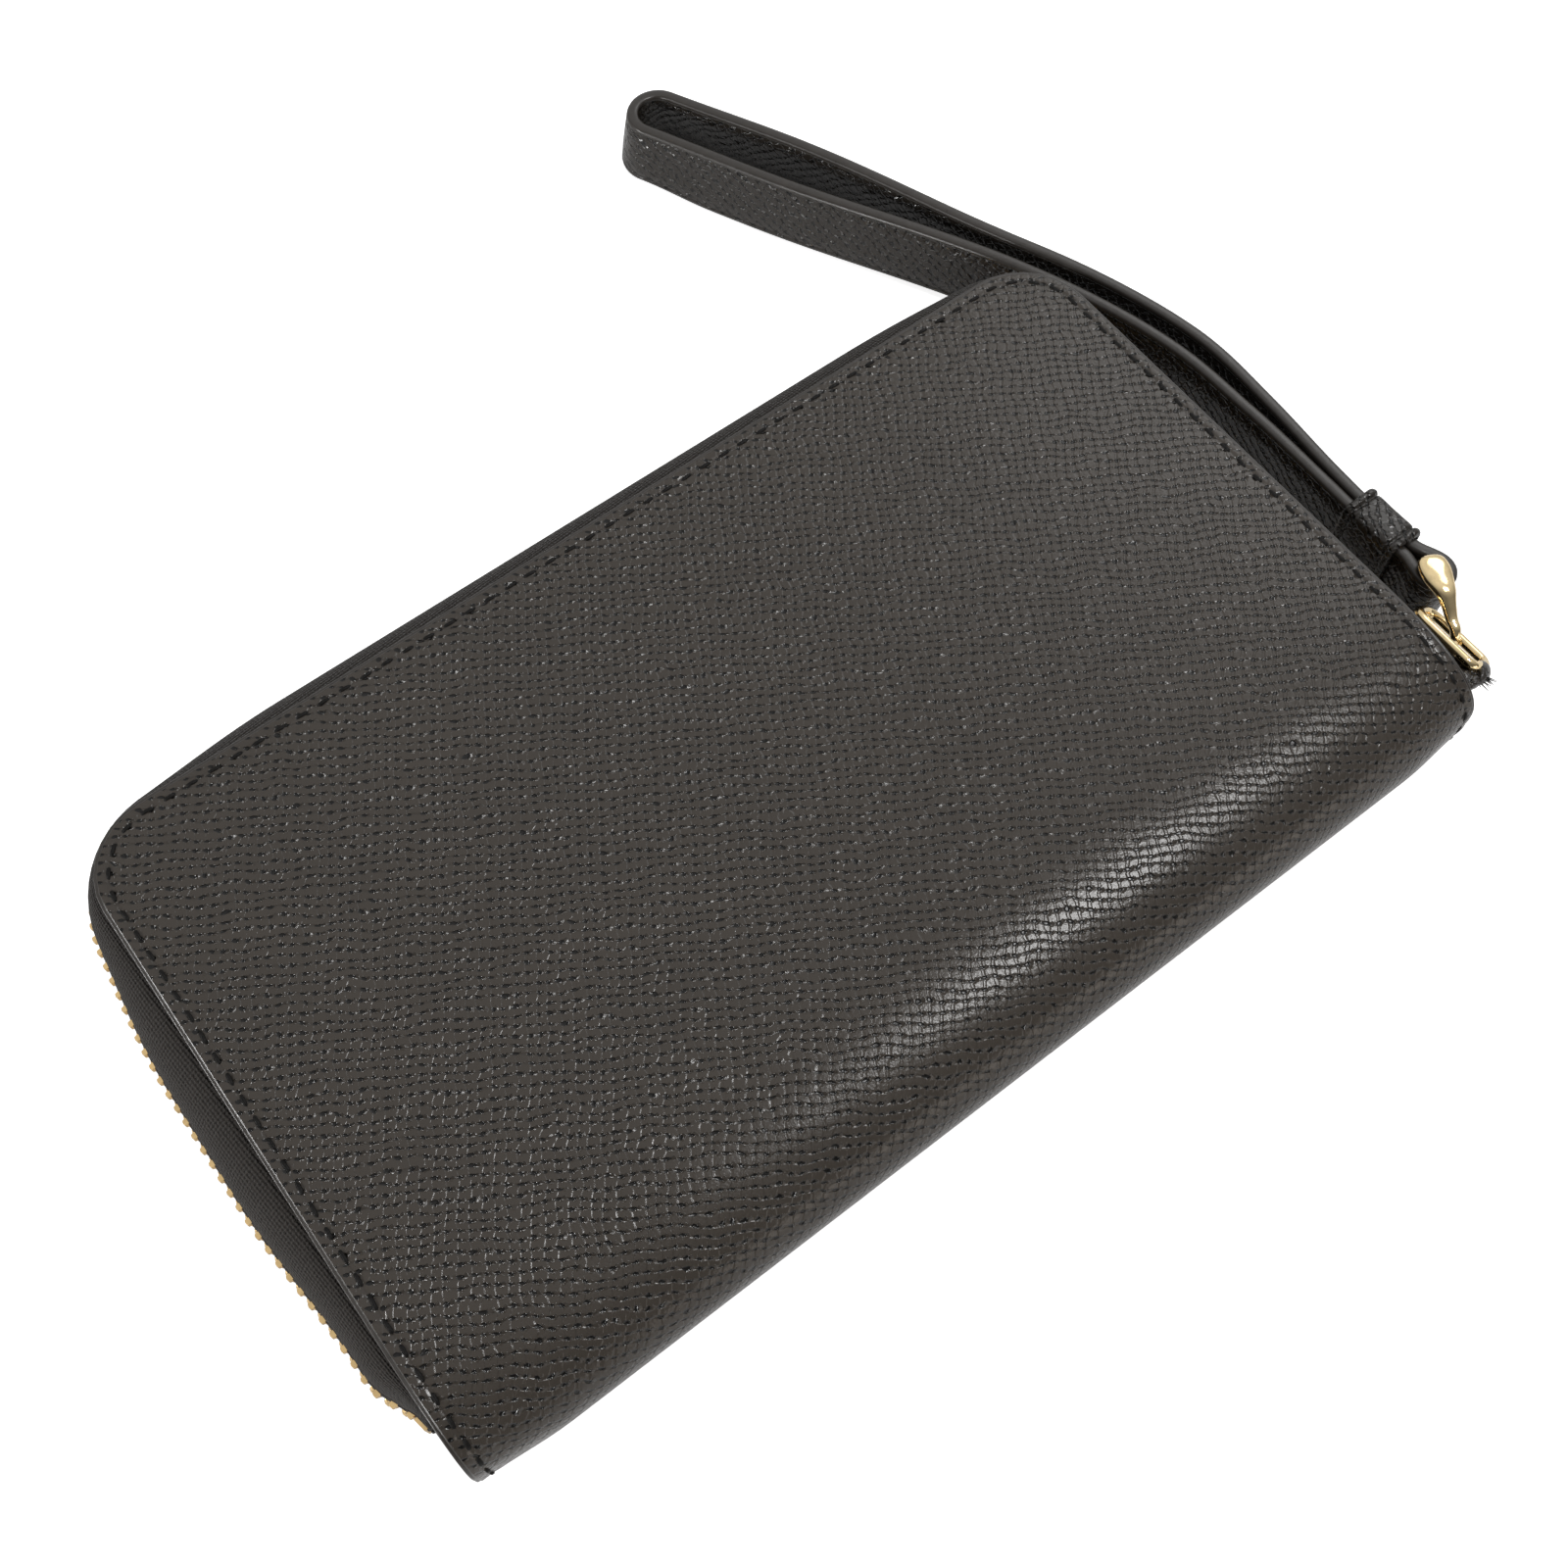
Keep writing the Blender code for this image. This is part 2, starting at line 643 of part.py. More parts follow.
def ring_mesh():
    """Round wire bent to a rounded rectangle, its straight bar in the tab."""
    outline = rounded_rectangle(
        (-RING_WIDTH / 2, 0), (RING_WIDTH / 2, RING_LENGTH),
        (RING_BAR_CORNER, RING_BAR_CORNER, RING_END_CORNER, RING_END_CORNER), 5,
    )
    path = [RING_BAR_PLACE + RING_AXIS * a + Vector((0, b, 0)) for a, b in outline]
    plane = RING_AXIS.cross(Vector((0, 1, 0)))
    loops = []
    for index, point in enumerate(path):
        direction = (path[(index + 1) % len(path)] - path[index - 1]).normalized()
        loops.append(ellipse_loop(point, plane, direction.cross(plane), RING_WIRE, RING_WIRE))
    return loft(loops, closed=True)


def tab_mesh():
    """A leather strip from inside the spine, twisted to the ring and folded round its bar."""
    inner = RING_WIRE / 2 + CLEARANCE
    length = RING_WIDTH - 2 * RING_BAR_CORNER - 2 * CLEARANCE
    side = RING_AXIS.cross(Vector((0, 1, 0)))
    ends = [RING_BAR_PLACE + RING_AXIS * (length * share) for share in (-0.5, 0.5)]
    thick = 2 * (inner + TAB_WALL)
    sleeve = loft([ellipse_loop(end, side, Vector((0, 1, 0)), thick, thick, 16) for end in ends])
    far_ends = [RING_BAR_PLACE + RING_AXIS * (length * share) for share in (-1, 1)]
    eye = loft([ellipse_loop(end, side, Vector((0, 1, 0)), 2 * inner, 2 * inner, 16) for end in far_ends])
    anchor_y = SPINE_LINE + TAB_SPINE_DISTANCE
    mouth_y = RING_BAR_PLACE.y - inner - TAB_PLY / 2
    # The strip keeps to the sleeve's outer wall, so that it never closes the eye
    stations = (
        (RIGHT_EDGE - TAB_INSIDE, anchor_y, TAB_HEIGHT, 0.0),
        (RIGHT_EDGE, anchor_y, TAB_HEIGHT, 0.0),
        (RIGHT_EDGE + 0.4 * RING_OUT, (anchor_y + mouth_y) / 2, (TAB_HEIGHT + RING_HEIGHT) / 2, 0.5),
        (RIGHT_EDGE + 0.8 * RING_OUT, mouth_y, RING_HEIGHT, 1.0),
        (RIGHT_EDGE + RING_OUT, mouth_y, RING_HEIGHT, 1.0),
    )
    loops = []
    for x, y, z, share in stations:
        lean = RING_LEAN * share
        half = Vector((math.sin(lean), 0, -math.cos(lean))) * (length / 2)
        ply = Vector((0, TAB_PLY / 2, 0))
        centre = Vector((x, y, z))
        loops.append([centre - half - ply, centre + half - ply, centre + half + ply, centre - half + ply])
    return cut(fuse(sleeve, loft(loops)), eye)


LINK_WAY = Vector((math.cos(LINK_ANGLE), math.sin(LINK_ANGLE), 0))
LINK_SIDE = LINK_WAY.cross(UP)
BAR_PLACE = HOOK + LINK_WAY * LINK_REACH
BAR_PLACE.z = 0
STRAP_TOP = STRAP_LIFT + STRAP_WIDTH


def link_mesh():
    """A cast loop: broad and flat over the strap's bar, drawn out to a thin bend that holds the ring."""
    upper = STRAP_TOP + 2 * CLEARANCE + LINK_FLAT / 2
    lower = STRAP_LIFT - CLEARANCE - LINK_LOWER_LEG / 2
    bar = LINK_REACH
    turn = LINK_FLAT / 2
    tip = LINK_TIP_WIRE
    path = [
        (bar, lower + 2 * turn, LINK_BAR, LINK_FLAT),
        (bar, (lower + upper) / 2, LINK_BAR, LINK_FLAT),
        (bar, upper - 2 * turn, LINK_BAR, LINK_FLAT),
        (bar - 0.15 * turn, upper - 0.7 * turn, LINK_BAR, LINK_FLAT),
        (bar - turn, upper, LINK_SPOON, LINK_FLAT),
        (0.66 * bar, upper + 0.02 * bar, 0.96 * LINK_SPOON, LINK_FLAT),
        (0.46 * bar, upper, 0.72 * LINK_SPOON, 0.9 * LINK_FLAT),
        (0.26 * bar, HOOK.z + 1.22 * LINK_TIP_BEND, 0.45 * LINK_SPOON, 0.8 * LINK_FLAT),
    ]
    for angle in (90, 120, 150, 180, 210):
        a = math.radians(angle)
        path.append((LINK_TIP_BEND * math.cos(a), HOOK.z + LINK_TIP_BEND * math.sin(a), tip, tip))
    front_foot = bar - STRAP_EYE - STRAP_THICKNESS - CLEARANCE - LINK_LOWER_LEG / 2
    path += [
        (0.1 * front_foot - 0.5 * LINK_TIP_BEND, 0.5 * HOOK.z, tip, tip),
        (0.7 * front_foot, lower + 1.2 * turn, LINK_LOWER_LEG, tip),
        (front_foot, lower + 0.25 * turn, LINK_BAR, LINK_LOWER_LEG),
        (1.3 * front_foot, lower, LINK_BAR, LINK_LOWER_LEG),
        (bar - turn, lower, LINK_BAR, LINK_LOWER_LEG),
        (bar - 0.2 * turn, lower + 0.7 * turn, LINK_BAR, LINK_FLAT),
    ]
    base = Vector((HOOK.x, HOOK.y, 0))
    places = [base + LINK_WAY * p + UP * q for p, q, _, _ in path]
    loops = []
    for index, point in enumerate(places):
        direction = (places[(index + 1) % len(places)] - places[index - 1]).normalized()
        width, height = path[index][2:]
        loops.append(ellipse_loop(point, LINK_SIDE, direction.cross(LINK_SIDE), width, height))
    return loft(loops, closed=True)


# Wrist strap

STRAP_EYE = LINK_BAR / 2 + CLEARANCE
STRAND_HALF = (STRAP_THICKNESS + CLEARANCE) / 2
EYE_HALF = STRAP_EYE + STRAP_THICKNESS / 2


def strap_course():
    points = [BAR_PLACE] + [BAR_PLACE + Vector((x, y, 0)) for x, y in STRAP_COURSE]
    return smooth_curve(points, STRAP_STEPS)


def course_length(course):
    lengths = [0.0]
    for first, second in zip(course, course[1:]):
        lengths.append(lengths[-1] + (second - first).length)
    return lengths


def strap_path():
    """Middle line of the closed strap, and how far along the strap each of its points is."""
    course = strap_course()
    lengths = course_length(course)
    total = lengths[-1]
    keeper_end = KEEPER_FROM_BAR + KEEPER_LENGTH + CLEARANCE
    keys = (
        (0, EYE_HALF),
        (KEEPER_FROM_BAR - CLEARANCE, STRAND_HALF),
        (keeper_end, STRAND_HALF),
        (0.36 * total, STRAP_WAIST_HALF),
        (0.55 * total, STRAP_WAIST_HALF),
        (0.86 * total, STRAP_LOOP_HALF),
        (total, 0.95 * STRAP_LOOP_HALF),
    )
    stops = sorted(set(lengths) | {KEEPER_FROM_BAR / 2, KEEPER_FROM_BAR - CLEARANCE, keeper_end})
    outer, inner = [], []
    for stop in stops:
        after = min(range(1, len(lengths)), key=lambda i: (lengths[i] < stop, lengths[i]))
        share = (stop - lengths[after - 1]) / (lengths[after] - lengths[after - 1])
        point = course[after - 1].lerp(course[after], share)
        near, far = course[max(after - 2, 0)], course[min(after + 1, len(course) - 1)]
        across = (far - near).normalized().cross(UP)
        half = ease(keys, stop)
        outer.append((point + across * half, stop))
        inner.append((point - across * half, stop))
    turns = []
    for (centre, stop, radius, pair) in (
        (course[-1], total, 0.95 * STRAP_LOOP_HALF, (outer[-1][0], inner[-1][0])),
        (course[0], 0.0, EYE_HALF, (inner[0][0], outer[0][0])),
    ):
        start = (pair[0] - centre).normalized()
        forward = UP.cross(start)
        turn = []
        for index in range(1, STRAP_TURN_STEPS):
            angle = math.pi * index / STRAP_TURN_STEPS
            turn.append((centre + (start * math.cos(angle) + forward * math.sin(angle)) * radius, stop))
        turns.append(turn)
    return outer + turns[0] + inner[::-1] + turns[1], total


def strap_mesh():
    """The band stands on edge; past the keeper its lower edge stands further out than its upper one."""
    path, total = strap_path()
    flare_keys = ((KEEPER_FROM_BAR + KEEPER_LENGTH + CLEARANCE, 0), (total / 2, STRAP_FLARE))
    loops = []
    for index, (point, stop) in enumerate(path):
        outward = (path[(index + 1) % len(path)][0] - path[index - 1][0]).normalized().cross(UP)
        side = outward * (STRAP_THICKNESS / 2)
        high = point + UP * (STRAP_LIFT * (1 - stop / total) + STRAP_WIDTH)
        low = high + outward * ease(flare_keys, stop) - UP * STRAP_WIDTH
        loops.append([low - side, low + side, high + side, high - side])
    return loft(loops, closed=True)


def keeper_mesh():
    """A leather band round both strands."""
    course = strap_course()
    lengths = course_length(course)
    middle = KEEPER_FROM_BAR + KEEPER_LENGTH / 2
    after = next(index for index, length in enumerate(lengths) if length > middle)
    share = (middle - lengths[after - 1]) / (lengths[after] - lengths[after - 1])
    centre = course[after - 1].lerp(course[after], share)
    way = (course[after + 1] - course[after - 2]).normalized()
    across = way.cross(UP)
    rise = STRAP_LIFT * (1 - middle / lengths[-1])
    room = STRAND_HALF + STRAP_THICKNESS / 2 + CLEARANCE
    shells = []
    for extra, stretch in ((KEEPER_PLY, 1.0), (0, 1.4)):
        low, high = rise - CLEARANCE - extra, rise + STRAP_WIDTH + CLEARANCE + extra
        radius = CLEARANCE + extra
        outline = rounded_rectangle((-room - extra, low), (room + extra, high), (radius,) * 4, 3)
        shells.append(prism(outline, lambda a, z, side: (
            centre + across * a + way * ((side - 0.5) * KEEPER_LENGTH * stretch) + UP * z)))
    return cut(*shells)


def build():
    clear_scene()
    leather = make_material("black_leather", (0.045, 0.041, 0.039), 0.42)
    facing_leather = make_material("pocket_leather", (0.05, 0.046, 0.044), 0.55)
    lining = make_material("lining_cloth", (0.06, 0.055, 0.05), 0.85)
    board = make_material("stiffening_board", (0.45, 0.40, 0.33), 0.9)
    tape = make_material("zip_cloth", (0.03, 0.028, 0.027), 0.9)
    brass = make_material("zip_brass", (0.78, 0.52, 0.22), 0.3, 1.0)
    gold = make_material("pale_gold", (0.92, 0.72, 0.42), 0.15, 1.0)

    front_pivot = make_pivot("front_pivot", (0, SPINE_LINE, MIDDLE))
    slider_pivot = make_pivot("slider_pivot", (SLIDER_LINE, SLIDER_CENTRE, MIDDLE))
    pull_pivot = make_pivot("pull_pivot", (SLIDER_LINE + PIN_OUT, PIN_PLACE, MIDDLE), slider_pivot)
    ring_pivot = make_pivot("ring_pivot", RING_BAR_PLACE)
    link_pivot = make_pivot("link_pivot", HOOK, ring_pivot)
    strap_pivot = make_pivot("strap_pivot", BAR_PLACE + UP * (STRAP_TOP / 2), link_pivot)

    add_cover("back", False, leather, board, lining, None)
    add_cover("front", True, leather, board, lining, front_pivot)
    add_pockets(lining, facing_leather, front_pivot)
    add_zip(tape, brass, front_pivot)
    add_piece("zip_slider", slider_mesh(), gold, slider_pivot)
    add_piece("zip_pull", pull_mesh(), gold, pull_pivot)
    add_piece("ring_tab", tab_mesh(), leather)
    add_piece("d_ring", ring_mesh(), gold, ring_pivot)
    add_piece("strap_link", link_mesh(), gold, link_pivot)
    add_piece("wrist_strap", strap_mesh(), leather, strap_pivot)
    add_piece("strap_keeper", keeper_mesh(), leather, strap_pivot)


build()
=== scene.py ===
"""Dresses the wristlet wallet: grained leather, stitches, metal zip, gold hardware, strap, light and camera.

Metres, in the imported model's frame: +X along the spine to the strap, +Y from the spine to the far zip edge.
"""
import bisect
import json
import math
import random

import bmesh
import bpy
from mathutils import Matrix, Vector, noise


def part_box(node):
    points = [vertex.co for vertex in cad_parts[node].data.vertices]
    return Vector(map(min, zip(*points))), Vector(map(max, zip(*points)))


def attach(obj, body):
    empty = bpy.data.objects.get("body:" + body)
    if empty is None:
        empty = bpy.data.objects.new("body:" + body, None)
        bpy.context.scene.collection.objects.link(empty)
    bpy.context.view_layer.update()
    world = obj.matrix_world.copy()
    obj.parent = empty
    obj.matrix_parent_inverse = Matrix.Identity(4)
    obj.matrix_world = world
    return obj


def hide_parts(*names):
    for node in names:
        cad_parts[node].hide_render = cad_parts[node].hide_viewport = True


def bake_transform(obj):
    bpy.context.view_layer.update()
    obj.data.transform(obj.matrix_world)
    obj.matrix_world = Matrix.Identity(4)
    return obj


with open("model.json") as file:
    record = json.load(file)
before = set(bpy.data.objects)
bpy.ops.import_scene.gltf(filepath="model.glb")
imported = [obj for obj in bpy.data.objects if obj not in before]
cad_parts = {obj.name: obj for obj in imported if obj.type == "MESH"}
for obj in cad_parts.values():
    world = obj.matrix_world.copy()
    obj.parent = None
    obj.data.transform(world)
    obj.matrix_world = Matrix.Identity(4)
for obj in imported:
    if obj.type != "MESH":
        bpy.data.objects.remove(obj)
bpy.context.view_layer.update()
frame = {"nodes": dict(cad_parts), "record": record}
NODES = frame["nodes"]
JOINTS = {joint["name"]: joint.get("pos_m") for joint in frame["record"]["behaviour"]["joints"]}

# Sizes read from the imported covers
COVER_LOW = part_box("back_leather")[0]
COVER_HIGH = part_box("front_leather")[1]
HALF_LENGTH = COVER_HIGH.x
SPINE_LINE = COVER_LOW.y
FAR_EDGE = COVER_HIGH.y
THICKNESS = COVER_HIGH.z
MIDDLE = THICKNESS / 2
UP = Vector((0, 0, 1))

# Leather hide
CORNER_RADIUS = 0.012
LEATHER = 0.0014
ROLL = 0.022
ROLL_POWER = 2.5
ROLL_STEPS = 96
RIM_WIDTH = 0.006
HIDE_COLUMNS = 84
SPINE_ROWS = 24
FLAT_ROWS = 16
ARC_ROWS = 7
PINCH = 0.0011
PINCH_LENGTH = 0.014
WAVE_HEIGHT = 0.00022
WAVE_LENGTH = 0.045
CREASE_HEIGHT = 0.00016
CREASE_LENGTH = 0.013
CREASE_RUN = 0.019
CREASE_REACH = 0.010
FOLD_HALF = 0.008

# Stitching
STITCH_INSET = 0.0022
STITCH_PITCH = 0.0036
STITCH_LENGTH = 0.0024
THREAD = 0.0007
STITCH_SINK = 0.00012

# Zip
TAPE = 0.0006
TAPE_SEAM = 0.0055
TAPE_LIP = -0.0004
TAPE_DEPTH = LEATHER + 0.0006
TAPE_ROUNDING = 0.55
ZIP_SPINE_MARGIN = 0.0095
BULGE_SIDE = 0.0055
BULGE_CORNER = 0.0023
BULGE_SLIDER_SIDE = 0.002
BULGE_END = 0.0006
BULGE_RISE = 0.0037
BULGE_RISE_RUN = 0.010
BULGE_START_RUN = 0.040
BULGE_EASE = 0.024
TOOTH_PITCH = 0.0024
TOOTH_WIDTH = 0.00095
FIRST_TOOTH = 0.0026
SIDE_RUN = FAR_EDGE - CORNER_RADIUS - SPINE_LINE - ZIP_SPINE_MARGIN
FAR_RUN = 2 * (HALF_LENGTH - CORNER_RADIUS)
CORNER_RUN = math.pi / 2 * (CORNER_RADIUS + BULGE_SIDE)
ZIP_RUN = 2 * SIDE_RUN + FAR_RUN + 2 * CORNER_RUN
CHAIN_END = ZIP_RUN - 0.0183
CHAIN_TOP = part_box("upper_zip_chain")[1].z
TOOTH_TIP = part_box("upper_zip_chain")[0].z
TAPE_END = CHAIN_TOP + 0.0003
BULGE_KEYS = (
    (0, BULGE_END),
    (BULGE_RISE_RUN, BULGE_RISE),
    (BULGE_START_RUN, BULGE_SIDE),
    (SIDE_RUN - BULGE_EASE, BULGE_SIDE),
    (SIDE_RUN + CORNER_RUN / 2, BULGE_CORNER),
    (SIDE_RUN + CORNER_RUN + BULGE_EASE, BULGE_SIDE),
    (SIDE_RUN + CORNER_RUN + FAR_RUN - BULGE_EASE, BULGE_SIDE),
    (SIDE_RUN + 2 * CORNER_RUN + FAR_RUN, BULGE_SLIDER_SIDE),
)

# Ring and link
RING_BAR = Vector(JOINTS["ring_swing"])
RING_LENGTH = 0.0121
RING_WIDTH = 0.007
RING_WIRE = 0.0016
RING_SHIFT = Vector((0.0003, -0.0005, 0))
RING_BAR_CORNER = 0.0016
RING_END_CORNER = 0.0028
RING_LEAN = math.radians(48)
RING_AXIS = Vector((math.sin(RING_LEAN), 0, -math.cos(RING_LEAN)))
HOOK = Vector(JOINTS["link_swing"])
LINK_ANGLE = math.radians(62)
LINK_WAY = Vector((math.cos(LINK_ANGLE), math.sin(LINK_ANGLE), 0))
LINK_SIDE = LINK_WAY.cross(UP)
LINK_REACH = 0.009
LINK_TIP_BEND = 0.0029
LINK_TIP_WIRE = 0.0014
LINK_BAR = 0.0024
LINK_SPOON = 0.005
LINK_FLAT = 0.002
LINK_LOWER_LEG = 0.0016
LINK_ASIDE = -0.001
FIBRES = 12
FIBRE = 0.0003

# Wrist strap
BAR_PLACE = Vector((*JOINTS["strap_swing"][:2], 0))
STRAP_WIDTH = 0.0122
STRAP_THICKNESS = 0.0021
STRAP_LIFT = 0.002
STRAP_FLARE = 0.0012
STRAP_TIP_FLARE = 0.0018
STRAP_TIP_RAISE = 0.0017
STRAP_TIP_RUN = 0.014
STRAP_EYE_HALF = 0.00255
STRAND_HALF = 0.0012
STRAP_WAIST_HALF = 0.0023
STRAP_LOOP_HALF = 0.0047
STRAP_TIP_HALF = 0.95 * STRAP_LOOP_HALF
KEEPER_FROM_BAR = 0.0058
KEEPER_LENGTH = 0.0107
KEEPER_PLY = 0.00095
STRAP_COURSE = (
    (-0.0006, 0.0110),
    (-0.0003, 0.0230),
    (0.0004, 0.0396),
    (-0.0001, 0.0570),
    (-0.0055, 0.0772),
    (-0.0158, 0.1012),
    (-0.0277, 0.1269),
    (-0.0400, 0.1524),
)

# Photograph's viewpoint
CAMERA_PLACE = Vector((-0.06784, -0.08791, 0.25259))
CAMERA_AZIMUTH = math.radians(-36.85)
CAMERA_ELEVATION = math.radians(64.79)
CAMERA_ROLL = math.radians(-0.24)
CAMERA_LENS = 41.29


# Mesh helpers

def ease(keys, at):
    """Smooth value between (distance, value) keys."""
    for (near, first), (far, second) in zip(keys, keys[1:]):
        if at <= far:
            share = max(0.0, (at - near) / (far - near))
            return first + (second - first) * (1 - math.cos(math.pi * share)) / 2
    return keys[-1][1]


def smooth_step(value):
    value = min(1.0, max(0.0, value))
    return value * value * (3 - 2 * value)


def smooth_curve(points, count):
    """Points spread along a smooth curve that passes through the given ones."""
    ends = [points[0] * 2 - points[1]] + list(points) + [points[-1] * 2 - points[-2]]
    curve = []
    for index in range(count + 1):
        at = index / count * (len(points) - 1)
        span = min(int(at), len(points) - 2)
        t = at - span
        p0, p1, p2, p3 = ends[span:span + 4]
        curve.append(
            0.5 * (2 * p1 + (p2 - p0) * t + (2 * p0 - 5 * p1 + 4 * p2 - p3) * t ** 2
                   + (3 * p1 - p0 - 3 * p2 + p3) * t ** 3)
        )
    return curve


def running_length(points, closed=False):
    lengths = [0.0]
    following = list(points[1:]) + ([points[0]] if closed else [])
    for first, second in zip(points, following):
        lengths.append(lengths[-1] + (second - first).length)
    return lengths


def new_object(name, points, faces, materials, slots=None, uvs=None):
    """A smooth mesh object; uvs holds one (u, v) per face corner, in metres on the surface."""
    mesh = bpy.data.meshes.new(name)
    mesh.from_pydata([tuple(point) for point in points], [], faces)
    for material in materials:
        mesh.materials.append(material)
    if slots:
        mesh.polygons.foreach_set("material_index", slots)
    if uvs:
        layer = mesh.uv_layers.new(name="surface")
        layer.data.foreach_set("uv", [value for uv in uvs for value in uv])
    mesh.shade_smooth()
    mesh.update()
    made = bpy.data.objects.new(name, mesh)
    bpy.context.scene.collection.objects.link(made)
    return made


def turn_outward(made):
    shape = bmesh.new()
    shape.from_mesh(made.data)
    bmesh.ops.recalc_face_normals(shape, faces=shape.faces)
    shape.to_mesh(made.data)
    shape.free()
    return made


def sweep(name, rows, lengths, widths, materials, closed=False, slot_of=None):
    """Skins rows of equal point loops; lengths and widths place each row and profile point on the surface."""
    count = len(rows[0])
    points = [point for row in rows for point in row]
    faces, uvs, slots = [], [], []
    for row in range(len(rows) if closed else len(rows) - 1):
        other = (row + 1) % len(rows)
        for side in range(count):
            following = (side + 1) % count
            start, end = row * count, other * count
            faces.append((start + side, start + following, end + following, end + side))
            near, far = lengths[row], lengths[row + 1]
            low, high = widths[side], widths[side + 1]
            uvs += [(near, low), (near, high), (far, high), (far, low)]
            slots.append(slot_of(side) if slot_of else 0)
    if not closed:
        for start, at in ((0, lengths[0]), ((len(rows) - 1) * count, lengths[-1])):
            faces.append(tuple(range(start, start + count)))
            uvs += [(at, widths[side]) for side in range(count)]
            slots.append(0)
    return turn_outward(new_object(name, points, faces, materials, slots, uvs))


def ellipse_loop(centre, across, along, width, height, sides, square=1.0):
    """Points round a path; square below 1 flattens the sides of the ellipse."""
    loop = []
    for index in range(sides):
        angle = 2 * math.pi * (index + 0.5) / sides
        c, s = math.cos(angle), math.sin(angle)
        c = math.copysign(abs(c) ** square, c)
        s = math.copysign(abs(s) ** square, s)
        loop.append(centre + across * (width / 2 * c) + along * (height / 2 * s))
    return loop


def loop_widths(loop):
    return running_length(loop, closed=True)


# Shader helpers

def shader_node(tree, kind, inputs=None, **settings):
    """Adds a node; inputs are values or sockets by input name or number."""
    made = tree.nodes.new("ShaderNode" + kind)
    for key, value in settings.items():
        setattr(made, key, value)
    for key, value in (inputs or {}).items():
        if isinstance(value, bpy.types.NodeSocket):
            tree.links.new(value, made.inputs[key])
        else:
            made.inputs[key].default_value = value
    return made


def calculate(tree, operation, first, second=0.0, third=0.0):
    return shader_node(tree, "Math", {0: first, 1: second, 2: third}, operation=operation).outputs[0]


def ramp(tree, value, low, high):
    """Value rescaled from low..high to 0..1, with soft ends."""
    inputs = {"Value": value, "From Min": low, "From Max": high}
    return shader_node(tree, "MapRange", inputs, interpolation_type="SMOOTHSTEP").outputs["Result"]


def mix_colour(tree, share, first, second):
    made = shader_node(tree, "Mix", {0: share}, data_type="RGBA")
    for socket, value in ((made.inputs[6], first), (made.inputs[7], second)):
        if isinstance(value, bpy.types.NodeSocket):
            tree.links.new(value, socket)
        else:
            socket.default_value = (*value, 1)
    return made.outputs[2]


def start_material(name, metallic=0.0):
    material = bpy.data.materials.new(name)
    material.use_nodes = True
    tree = material.node_tree
    shader = tree.nodes["Principled BSDF"]
    shader.inputs["Metallic"].default_value = metallic
    return material, tree, shader


def surface_place(tree, turn, cell, squeeze=1.0):
    """Coordinates on the unrolled surface, turned and counted in cells; squeeze shortens the cells across."""
    place = shader_node(tree, "UVMap", uv_map="surface").outputs["UV"]
    inputs = {"Vector": place, "Rotation": (0, 0, -turn), "Scale": (cell, cell * squeeze, 1)}
    return shader_node(tree, "Mapping", inputs, vector_type="TEXTURE").outputs["Vector"]


def object_place(tree, scale):
    place = shader_node(tree, "TexCoord").outputs["Object"]
    return shader_node(tree, "Mapping", {"Vector": place, "Scale": (scale, scale, scale)}).outputs["Vector"]


def add_bump(tree, shader, height, distance, strength=1.0):
    inputs = {"Height": height, "Distance": distance, "Strength": strength}
    bump = shader_node(tree, "Bump", inputs)
    tree.links.new(bump.outputs["Normal"], shader.inputs["Normal"])


# Materials

GRAIN_TURN = math.radians(32)
GRAIN_HEIGHT = 0.0002
GRAIN_SQUEEZE = 0.89
BEAD_PLACE = (0.26, 0.06, 0)
BEAD_SLOPE_RUN = 0.30
BEAD_BACK_RUN = 0.08
BEAD_HALF_WIDTH = 0.30
BEAD_FLAT_HALF = 0.14
BEAD_SHARE = 1.25


def grain_beads(tree, place):
    """One small wedge beside each corner of the grain's cells: a short steep back and a long even slope."""
    shifted = shader_node(tree, "VectorMath", {0: place, 1: BEAD_PLACE}, operation="SUBTRACT").outputs[0]
    centred = shader_node(tree, "VectorMath", {0: shifted, 1: (0.5, 0.5, 0)}, operation="ADD").outputs[0]
    share = shader_node(tree, "VectorMath", {0: centred}, operation="FRACTION").outputs[0]
    parts = shader_node(tree, "SeparateXYZ", {0: share})
    right = calculate(tree, "SUBTRACT", parts.outputs[0], 0.5)
    above = calculate(tree, "SUBTRACT", parts.outputs[1], 0.5)
    down = calculate(tree, "MULTIPLY", calculate(tree, "SUBTRACT", right, above), math.sqrt(0.5))
    aside = calculate(tree, "MULTIPLY", calculate(tree, "ADD", right, above), math.sqrt(0.5))
    back = ramp(tree, down, -BEAD_BACK_RUN, 0.0)
    inputs = {"Value": down, "From Min": BEAD_SLOPE_RUN, "From Max": 0.0}
    slope = shader_node(tree, "MapRange", inputs).outputs["Result"]
    width = ramp(tree, calculate(tree, "ABSOLUTE", aside), BEAD_HALF_WIDTH, BEAD_FLAT_HALF)
    return calculate(tree, "MULTIPLY", calculate(tree, "MINIMUM", back, slope), width)


